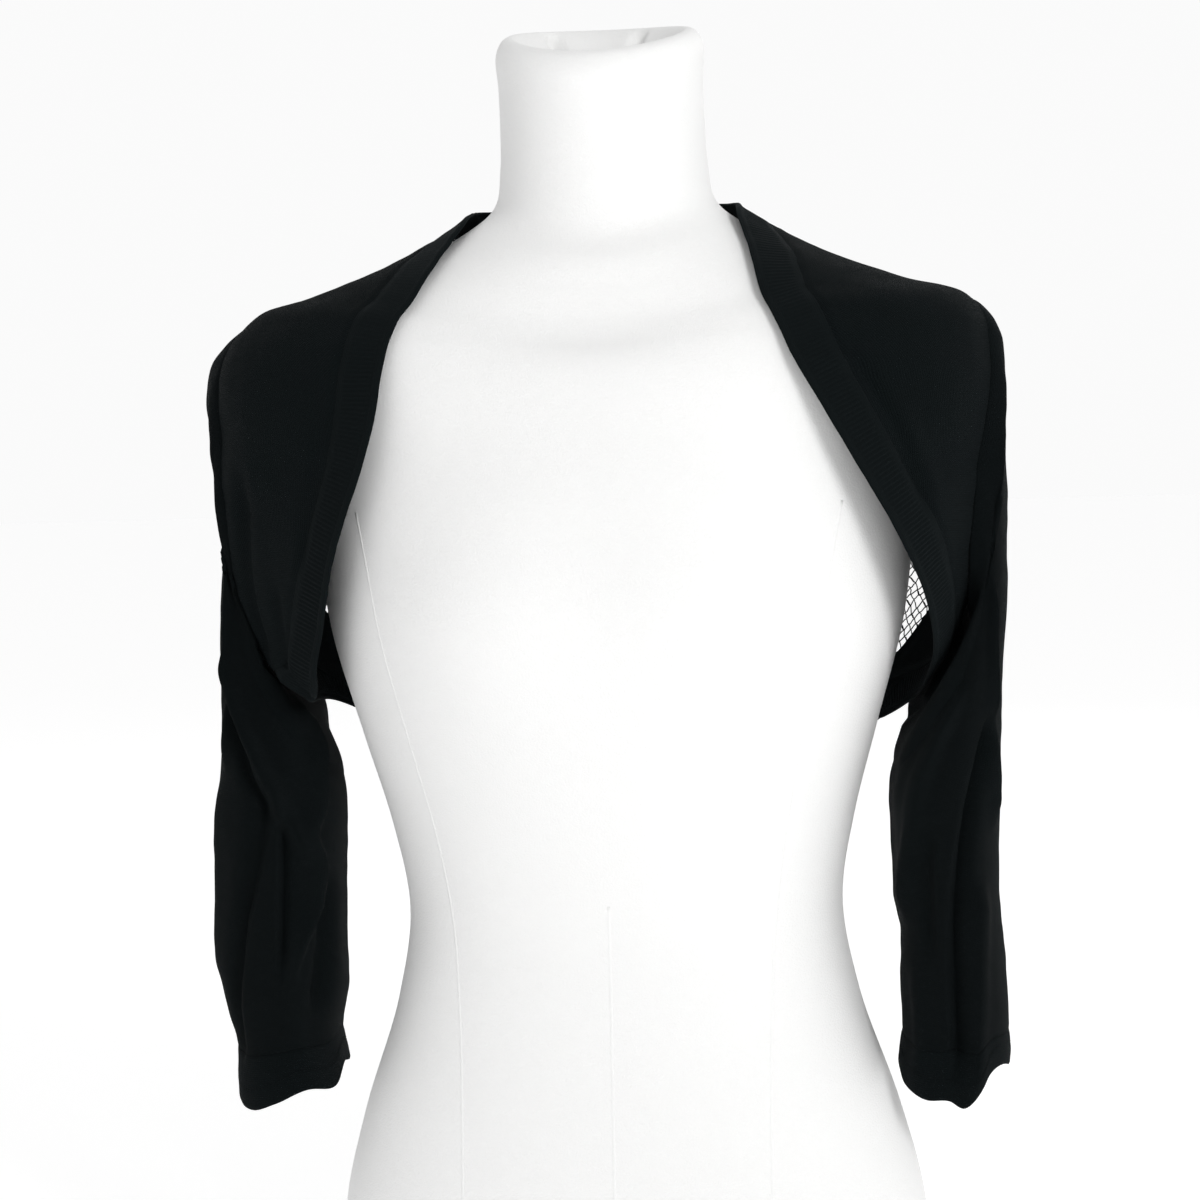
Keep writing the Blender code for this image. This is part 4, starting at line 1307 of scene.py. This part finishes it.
def form_rings():
    """Fine rings of the form, from its base to the middle of the dish in its neck."""
    turns = np.linspace(0, 360, FORM_TURNS, endpoint=False)
    turns = np.where(turns > 180, turns - 360, turns)
    runs = np.linspace(0, 720, FORM_LEVELS)
    rings = [form_point(turns, run) for run in np.concatenate([[0.6, 2.0], runs[1:]])]
    base = form_point(turns, 0.0)
    base[:, :2] *= 0.993
    knots = [form_point(turns, run) for run in (690, 720, NECK_RUN)]
    facing = np.sin(np.radians(turns))
    for neck in NECK_RINGS + (NeckRing(726, 9.0, -6),):
        x = neck.radius * np.cos(np.radians(turns))
        y = neck.centre_y + neck.radius * facing
        tilt = NECK_TILT * min((neck.height - NECK_TILT_FROM) / NECK_TILT_OVER, 1)
        lean = tilt * facing * neck.radius / NECK_RADIUS
        dip = RIM_DIP * facing**2 * (neck.height > RIM_FROM) * min(neck.radius / 40.0, 1)
        knots.append(np.stack([x, y, neck.height + lean - dip], axis=-1))
    neck_rings = through(knots, 7)[8:]
    inner = neck_rings[-28:]
    for k, ring in enumerate(inner):
        into = smoothstep(0, 8, k)
        for middle, reach, deep in FORM_TUCKS:
            away = (np.mod(turns, 360) - middle + 180) % 360 - 180
            groove = deep * np.exp(-((away / reach) ** 2)) * into
            outward = (ring[:, :2] - [0, -6]) / np.linalg.norm(ring[:, :2] - [0, -6], axis=1)[:, None]
            ring[:, :2] += outward * (groove * min(1.0, k / 12))[:, None] * (k < 22)
            ring[:, 2] -= groove * 0.8
    return np.array([base] + rings + neck_rings)


def beside(value, low, high):
    """The angle between low and high at which the form is value millimetres to the side."""
    angles = np.linspace(low, high, 400)
    x = form_point(angles, value[1])[:, 0]
    return float(np.interp(value[0], x, angles))


# The front's long seams: heights, and how far to the side they run.
PRINCESS = ((0, 100, 200, 250, 300, 340, 400, 440, 470), (88, 86, 87, 90, 97, 105, 119, 127, 133))


def form_seams():
    """Routes of the cover's seams as (angle, run) pairs."""
    routes = [np.stack([np.full(60, -90.0), np.linspace(262, 1, 60)], axis=-1)]
    routes.append(np.stack([np.full(160, 90.0), np.linspace(735, 1, 160)], axis=-1))
    for side in (1, -1):
        front = []
        for run in np.linspace(468, 1, 110):
            lean = float(curve_at(*PRINCESS, run))
            turned = beside((lean, run), -89.0, -2.0)
            front.append((turned if side > 0 else -180 - turned, run))
        routes.append(np.array(front))
        chest = []
        for x, run in ((104, 655), (110, 620), (117, 590), (125, 558), (134, 535), (145, 512)):
            turned = beside((x, run), -89.0, -2.0)
            chest.append((turned if side > 0 else -180 - turned, run))
        knots = np.arange(len(chest))
        at = np.linspace(0, len(chest) - 1, 50)
        chest = np.array(chest)
        routes.append(np.stack([curve_at(knots, chest[:, 0], at), curve_at(knots, chest[:, 1], at)], -1))
        sides = np.linspace(470, 1, 100)
        routes.append(np.stack([np.full(100, 3.0 if side > 0 else 177.0), sides], axis=-1))
    return routes


def welt(route, width, height):
    """A thin raised seam along a route on the form, closed all round, as rings of points."""
    points = form_point(route[:, 0], route[:, 1])
    normal = form_normal(route[:, 0], route[:, 1])
    tangent = np.gradient(points, axis=0)
    tangent /= np.linalg.norm(tangent, axis=1, keepdims=True)
    aside = np.cross(normal, tangent)
    section = ((-1.0, -0.6), (-0.7, 0.45), (0.0, 1.0), (0.7, 0.45), (1.0, -0.6), (0.0, -0.8))
    rings = [points + aside * (a * width / 2) + normal * (h * height) for a, h in section]
    return np.stack(rings, axis=1)


def closed_grid(points, flip=False):
    """Faces of a grid that wraps round, with a flat cap at each end."""
    rows, columns = points.shape[:2]
    faces = grid_faces(rows, columns, wraps=True, flip=flip).tolist()
    low = list(range(columns))
    high = [(rows - 1) * columns + c for c in range(columns)]
    faces.append(low if flip else low[::-1])
    faces.append(high[::-1] if flip else high)
    return faces


def merged(grids):
    """Closed grids as one set of points and faces. Each is (points, flip)."""
    points, faces, first = [], [], 0
    for grid, flip in grids:
        points.append(grid.reshape(-1, 3))
        faces.extend([[v + first for v in face] for face in closed_grid(grid, flip)])
        first += grid.shape[0] * grid.shape[1]
    return np.concatenate(points), faces


# ---------------------------------------------------------------- cloth pieces

RIB_START = 5.0
RIB_END = 5.0  # before the band's seam
RIB_LOW = {"right": 0.4, "left": 0.12}  # how much of the ribs is left where the edge goes up over the shoulder
RIB_FADE = (545.0, 610.0)
ROWS_ACROSS = (0.0, 0.5, 1.3, 2.4, 3.6, 4.5, 5.4, 7.5, 11.0, 14.5, 17.5, 19.2, 20.6, 21.8, 22.8, 23.4, 24.0)


def band_relief(across, along, width, pitch, strength):
    """A rolled plain edge, then ribs square to it, then the seam."""
    length = along[:, -1:]
    edge = 0.45 * np.exp(-(((across - 2.3) / 1.7) ** 2)) - 0.9 * np.exp(-((across / 0.8) ** 2))
    groove = -0.35 * np.exp(-(((across - RIB_START + 0.3) / 0.7) ** 2))
    window = smoothstep(RIB_START - 0.6, RIB_START + 0.8, across)
    window = window * (1 - smoothstep(width - RIB_END - 0.8, width - RIB_END + 0.6, across))
    ribs = 0.34 * np.cos(2 * math.pi * along / pitch) * window * strength
    ends = sewn_edge(np.minimum(along, length - along), 0.5)
    return edge + groove * strength + ribs + ends + sewn_edge(width - across, 0.55, 2.4)


def add_band(name, edge, seam, side, drapes, pitch, material):
    """A ribbed band between its outer edge and its seam line."""
    grid = ruled(edge, seam, np.array(ROWS_ACROSS) / ROWS_ACROSS[-1])
    base = cloth_point(grid[..., 0], grid[..., 1], drapes)
    across = grid_lengths(base, 0)
    along = grid_lengths(base, 1)
    middle = np.repeat(along[len(along) // 2][None], len(along), axis=0)
    strength = RIB_LOW[side] + (1 - RIB_LOW[side]) * (1 - smoothstep(*RIB_FADE, grid[..., 1]))
    relief = band_relief(across, middle, across[-1:], pitch, strength) + knit_rest(base)
    points = panel_points(grid, side, drapes, relief)
    faces = grid_faces(*points.shape[:2], flip=not faces_out(points))
    uv = np.stack([middle, across], axis=-1)
    band = new_mesh(name + CLOTH, points, faces, uv)
    add_wall(band, 1.2 * MM)
    finish_piece(band, material, [name])
    return band


def add_front(name, side, material):
    """One front of the shrug."""
    grid = front_grid(side)
    base = cloth_point(grid[..., 0], grid[..., 1], FRONT_DRAPES[side])
    up = grid_lengths(base, 0)
    across = grid_lengths(base, 1)
    relief = sewn_edge(up, 0.55, 2.4) + sewn_edge(np.minimum(across, across[:, -1:] - across))
    relief = relief + 0.35 * np.exp(-(((up[-1:] - up) / 2.0) ** 2)) + knit_rest(base)
    points = panel_points(grid, side, FRONT_DRAPES[side] + FINE_DRAPES[side], relief)
    faces = grid_faces(*points.shape[:2], flip=not faces_out(points))
    front = new_mesh(name + CLOTH, points, faces, girth_uv(grid, base))
    add_wall(front, 1.2 * MM)
    finish_piece(front, material, [name])
    return front


def tube_normals(grid):
    """Outward normals of a grid of rings."""
    around = np.roll(grid, -1, axis=1) - np.roll(grid, 1, axis=1)
    down = np.gradient(grid, axis=0)
    normal = np.cross(around, down)
    normal /= np.linalg.norm(normal, axis=-1, keepdims=True)
    middle = grid.mean(axis=1, keepdims=True)
    if float(((grid - middle) * normal)[len(grid) // 2].sum()) < 0:
        normal = -normal
    return normal


def add_tube(name, grid, side, relief, material):
    """A sleeve or a cuff from its outer face."""
    points = grid + tube_normals(grid) * relief[..., None]
    around = grid_lengths(np.concatenate([grid, grid[:, :1]], axis=1), 1)[:, :-1]
    down = grid_lengths(grid, 0)
    girth = around[len(around) // 2][None] + 0 * around
    uv = np.stack([girth, -down], axis=-1)
    faces = grid_faces(*points.shape[:2], wraps=True, flip=side == "left")
    tube = new_mesh(name + CLOTH, mirrored(points, side), faces, uv)
    add_wall(tube, 1.2 * MM)
    finish_piece(tube, material, [name])
    return tube


def settings():
    """The add-on's settings in this scene."""
    return bpy.context.scene.shrug


def palette():
    """The materials, made once."""
    if "Black knit" in bpy.data.materials:
        return bpy.data.materials
    chosen = settings()
    stitches = stitch_group()
    knit = tuple(chosen.knit_colour)
    rib = tuple(chosen.rib_colour)
    lace = tuple(chosen.lace_colour)
    knit_material("Black knit", stitches, knit, chosen.wale, chosen.course, 0.0005, 0.012)
    knit_material("Black rib", stitches, rib, chosen.rib_pitch / 2, chosen.course, 0.0002, 0.014)
    yarn_material("Black lace", lace, 0.012)
    yarn_material("Black thread", rib, 0.02)
    jersey_material("White jersey", tuple(chosen.jersey_colour))
    return bpy.data.materials


class ShrugSettings(bpy.types.PropertyGroup):
    """Sizes and colours of the shrug."""

    wale: FloatProperty(
        name="Wale", description="Width of one stitch", default=0.0015, min=0.0005, unit="LENGTH"
    )
    course: FloatProperty(
        name="Course", description="Height of one stitch", default=0.0012, min=0.0005, unit="LENGTH"
    )
    rib_pitch: FloatProperty(
        name="Rib pitch", description="Along a band, from rib to rib", default=0.0026, min=0.001, unit="LENGTH"
    )
    lace_pitch: FloatProperty(
        name="Lace pitch", description="Width of one hole of the lace", default=0.007, min=0.003, unit="LENGTH"
    )
    lace_row: FloatProperty(
        name="Lace row", description="From one row of the lace to the next", default=0.0034, min=0.0015,
        unit="LENGTH",
    )
    cuff_stitch: FloatProperty(
        name="Cuff stitch", description="From stitch to stitch on a cuff", default=0.0024, min=0.001,
        unit="LENGTH",
    )
    thread_sides: IntProperty(
        name="Thread sides", description="Sides of each thread of the lace", default=3, min=3, max=8
    )
    knit_colour: FloatVectorProperty(
        name="Knit", description="Colour of the plain knit", subtype="COLOR", default=(0.0024, 0.0037, 0.0040)
    )
    rib_colour: FloatVectorProperty(
        name="Rib", description="Colour of the ribbed bands", subtype="COLOR", default=(0.0030, 0.0043, 0.0046)
    )
    lace_colour: FloatVectorProperty(
        name="Lace", description="Colour of the lace", subtype="COLOR", default=(0.0026, 0.0036, 0.0039)
    )
    jersey_colour: FloatVectorProperty(
        name="Jersey", description="Colour of the form's cover", subtype="COLOR", default=(0.86, 0.86, 0.855)
    )


class SHRUG_OT_form(bpy.types.Operator):
    """Builds the dress form in its seamed jersey cover"""

    bl_idname = "shrug.form"
    bl_label = "Dress form"

    def execute(self, context):
        grids = [(form_rings(), False)]
        for route in form_seams():
            ribbon = welt(route, 2.0, 0.14)
            across = np.cross(ribbon[1, 0] - ribbon[0, 0], ribbon[0, 1] - ribbon[0, 0])
            outward = ribbon[0, 2] - ribbon[0, 5]
            grids.append((ribbon, bool(np.dot(across, outward) < 0)))
        points, faces = merged(grids)
        form = new_mesh("form_cover", points, faces)
        finish_piece(form, palette()["White jersey"], ["dress_form"])
        return {"FINISHED"}


class SHRUG_OT_bands(bpy.types.Operator):
    """Builds the ribbed bands of the opening, the nape and the hem"""

    bl_idname = "shrug.bands"
    bl_label = "Ribbed bands"

    def execute(self, context):
        material = palette()["Black rib"]
        pitch = settings().rib_pitch / MM
        steps = RIB_STEPS
        lines = {side: band_lines(side, steps) for side in SIDES}
        for side, (edge, seam) in lines.items():
            part = slice(steps.nape, steps.nape + steps.front + 1)
            drapes = FRONT_DRAPES[side] + FINE_DRAPES[side]
            add_band(f"band_{side}", edge[part], seam[part], side, drapes, pitch, material)
        neck, hem = [], []
        for right, left in zip(lines["right"], lines["left"]):
            neck.append(np.concatenate([right[steps.nape :: -1], across_back(left[1 : steps.nape + 1])]))
            first = steps.nape + steps.front
            hem.append(np.concatenate([right[first:], across_back(left[first:-1])[::-1]]))
        add_band("band_neck", *neck, "right", (), pitch, material)
        add_band("band_hem", *hem, "right", (), pitch, material)
        return {"FINISHED"}


class SHRUG_OT_fronts(bpy.types.Operator):
    """Builds the two plain fronts"""

    bl_idname = "shrug.fronts"
    bl_label = "Fronts"

    def execute(self, context):
        for side in SIDES:
            add_front(f"front_{side}", side, palette()["Black knit"])
        return {"FINISHED"}


class SHRUG_OT_lace(bpy.types.Operator):
    """Builds the lace back: a net of threads in a narrow knitted edge"""

    bl_idname = "shrug.lace"
    bl_label = "Lace back"

    def execute(self, context):
        chosen = settings()
        material = palette()["Black lace"]
        outline = back_outline()
        net_line = inset_ring(outline, border_widths(outline) - 2.5)
        points, radii, edges = lace_threads(chosen.lace_pitch / MM, chosen.lace_row / MM, net_line)
        threads = line_object("Lace threads", points, edges, radii)
        net = grown("lace_net", threads, thread_tree(material), {"Sides": chosen.thread_sides})
        net.data.shade_smooth()
        finish_piece(net, material, ["back_lace"])
        inner = inset_ring(outline, border_widths(outline))
        rows = []
        for share in BORDER_ROWS:
            ring = outline + (inner - outline) * share
            base = cloth_point(ring[:, 0], ring[:, 1], BACK_DRAPES)
            distance = share * border_widths(outline)
            rise = sewn_edge(distance) + knit_rest(base)
            rise = rise - 0.5 * np.exp(-(((border_widths(outline) - distance) / 0.8) ** 2))
            rows.append(base + cloth_normal(ring[:, 0], ring[:, 1]) * (WALL - 0.1 + rise)[:, None])
        grid = np.array(rows)
        around = grid_lengths(np.concatenate([grid, grid[:, :1]], axis=1), 1)[:, :-1]
        uv = np.stack([around, grid_lengths(grid, 0)], axis=-1)
        middle = grid.shape[1] // 4
        across = grid[:, middle + 1] - grid[:, middle]
        inward = grid[1, middle] - grid[0, middle]
        outward = cloth_normal(outline[middle, 0], outline[middle, 1])
        flip = float(np.dot(np.cross(across[0], inward), outward)) < 0
        border = new_mesh("lace_edge", grid, grid_faces(*grid.shape[:2], wraps=True, flip=flip), uv)
        add_wall(border, 1.2 * MM)
        finish_piece(border, palette()["Black knit"], [])
        return {"FINISHED"}


class SHRUG_OT_sleeves(bpy.types.Operator):
    """Builds the sleeves and their stitched cuffs"""

    bl_idname = "shrug.sleeves"
    bl_label = "Sleeves"

    def execute(self, context):
        material = palette()["Black knit"]
        tree = stitch_tree(palette()["Black thread"])
        for side in SIDES:
            grid, _ = sleeve_grid(side)
            down = grid_lengths(grid, 0)
            relief = -0.2 * np.exp(-((down / 1.5) ** 2)) + sewn_edge(down[-1:] - down, 0.15) + knit_rest(grid)
            add_tube(f"sleeve_{side}", grid, side, relief, material)
            cuff, _ = cuff_grid(side)
            down = grid_lengths(cuff, 0)
            up = down[-1:] - down
            relief = sewn_edge(down, 0.15) - 0.6 * np.exp(-((up / 0.8) ** 2)) + knit_rest(cuff)
            relief = relief - 0.4 * np.exp(-(((up - 12.0) / 0.9) ** 2))
            add_tube(f"cuff_{side}", cuff, side, relief, material)
            outer = cuff + tube_normals(cuff) * (relief - 0.1)[..., None]
            lines = []
            for level in (11.4, 12.9):
                ring = [
                    [np.interp(level, up[::-1, c], outer[::-1, c, axis]) for axis in range(3)]
                    for c in range(cuff.shape[1])
                ]
                lines.append(mirrored(np.array(ring + ring[:1]), side))
            source = line_object(f"Cuff stitches {side}", *open_lines(lines))
            sewn = grown(f"cuff_thread_{side}", source, tree, {"Pitch": settings().cuff_stitch})
            finish_piece(sewn, palette()["Black thread"], [])
        return {"FINISHED"}


# The record of a piece's cut: the piece, how it is held, what it lies on, its flat width, length and area in
# metres, and the others.
# The lace's area is 0.6 of its outline's 0.1267, a guess that leaves the holes out.
Cut = namedtuple("Cut", "piece held rests_on width length area others")


# ---------------------------------------------------------------- the studio

TARGET = Vector((-0.0097, 0.0, 0.424))
AZIMUTH = 7.0
ELEVATION = 4.0
DISTANCE = 1.7
CAMERA_ROLL = -1.7
VIEW_WIDTH = 0.684
SENSOR = 36.0

# The pale surroundings are brightest behind the figure.
SKY_BEHIND = 0.96
SKY_FRONT = 0.5
FLOOR_COLOUR = (0.93, 0.93, 0.93)
FLOOR_GLOW = 0.34

Lamp = namedtuple("Lamp", "name place aim size power")
LAMPS = (
    Lamp("Key", (1.7, -2.2, 1.7), (0.0, 0.0, 0.42), 1.1, 39.0),
    Lamp("Fill", (-1.2, -2.8, 0.9), (0.0, 0.0, 0.42), 2.0, 4.0),
    Lamp("Back", (0.6, 2.3, 1.8), (0.0, 0.0, 0.45), 1.6, 5.0),
)


def plain_material(name, colour, roughness):
    """A plain material without a pattern."""
    material = bpy.data.materials.new(name)
    material.use_nodes = True
    shader = material.node_tree.nodes["Principled BSDF"]
    shader.inputs["Base Color"].default_value = (*colour, 1.0)
    shader.inputs["Roughness"].default_value = roughness
    shader.inputs["Specular IOR Level"].default_value = 0.1
    return material


class SHRUG_OT_stage(bpy.types.Operator):
    """Sets the floor, the soft lights, the pale surroundings and the camera"""

    bl_idname = "shrug.stage"
    bl_label = "Studio"

    def execute(self, context):
        half = 12.0
        mesh = bpy.data.meshes.new("Floor")
        corners = [(-half, -half, 0.0), (half, -half, 0.0), (half, half, 0.0), (-half, half, 0.0)]
        mesh.from_pydata(corners, [], [(0, 1, 2, 3)])
        pale = plain_material("Pale floor", FLOOR_COLOUR, 0.9)
        shader = pale.node_tree.nodes["Principled BSDF"]
        shader.inputs["Emission Color"].default_value = (1.0, 1.0, 1.0, 1.0)
        shader.inputs["Emission Strength"].default_value = FLOOR_GLOW
        mesh.materials.append(pale)
        floor = bpy.data.objects.new("Floor", mesh)
        context.scene.collection.objects.link(floor)
        for lamp in LAMPS:
            data = bpy.data.lights.new(lamp.name, "AREA")
            data.shape = "DISK"
            data.size = lamp.size
            data.energy = lamp.power
            light = bpy.data.objects.new(lamp.name, data)
            context.scene.collection.objects.link(light)
            light.location = lamp.place
            aim = Vector(lamp.aim) - Vector(lamp.place)
            light.rotation_euler = aim.to_track_quat("-Z", "Y").to_euler()
        world = bpy.data.worlds.new("Surroundings")
        world.use_nodes = True
        sky = world.node_tree.nodes["Background"]
        sky.inputs["Color"].default_value = (1.0, 1.0, 1.0, 1.0)
        place = world.node_tree.nodes.new("ShaderNodeTexCoord")
        axes = world.node_tree.nodes.new("ShaderNodeSeparateXYZ")
        spread = world.node_tree.nodes.new("ShaderNodeMapRange")
        spread.interpolation_type = "SMOOTHSTEP"
        for name, value in (("From Min", -0.3), ("From Max", 0.8), ("To Min", SKY_FRONT), ("To Max", SKY_BEHIND)):
            spread.inputs[name].default_value = value
        links = world.node_tree.links
        links.new(place.outputs["Generated"], axes.inputs[0])
        links.new(axes.outputs["Y"], spread.inputs["Value"])
        links.new(spread.outputs["Result"], sky.inputs["Strength"])
        context.scene.world = world
        context.scene.view_settings.view_transform = "Standard"
        around, up = math.radians(AZIMUTH), math.radians(ELEVATION)
        way = Vector((math.sin(around) * math.cos(up), -math.cos(around) * math.cos(up), math.sin(up)))
        data = bpy.data.cameras.new("Camera")
        data.sensor_width = SENSOR
        data.lens = SENSOR * DISTANCE / VIEW_WIDTH
        camera = bpy.data.objects.new("Camera", data)
        context.scene.collection.objects.link(camera)
        facing = (-way).to_track_quat("-Z", "Y").to_matrix().to_4x4()
        place = Matrix.Translation(TARGET + way * DISTANCE)
        camera.matrix_world = place @ facing @ Matrix.Rotation(math.radians(CAMERA_ROLL), 4, "Z")
        context.scene.camera = camera
        return {"FINISHED"}


class SHRUG_PT_panel(bpy.types.Panel):
    """Panel with the shrug's settings and its steps"""

    bl_idname = "SHRUG_PT_panel"
    bl_label = "Knitted shrug"
    bl_space_type = "VIEW_3D"
    bl_region_type = "UI"
    bl_category = "Shrug"

    def draw(self, context):
        column = self.layout.column()
        for name in ShrugSettings.__annotations__:
            column.prop(context.scene.shrug, name)
        for step in STEPS:
            column.operator(step.bl_idname)


STEPS = (
    SHRUG_OT_form,
    SHRUG_OT_bands,
    SHRUG_OT_fronts,
    SHRUG_OT_lace,
    SHRUG_OT_sleeves,
    SHRUG_OT_stage,
)
CLASSES = (ShrugSettings, *STEPS, SHRUG_PT_panel)


def register():
    for cls in CLASSES:
        bpy.utils.register_class(cls)
    bpy.types.Scene.shrug = PointerProperty(type=ShrugSettings)


def unregister():
    del bpy.types.Scene.shrug
    for cls in reversed(CLASSES):
        bpy.utils.unregister_class(cls)


def main():
    register()
    bpy.ops.shrug.form()
    bpy.ops.shrug.bands()
    bpy.ops.shrug.fronts()
    bpy.ops.shrug.lace()
    bpy.ops.shrug.sleeves()
    bpy.ops.shrug.stage()


if __name__ == "__main__":
    main()
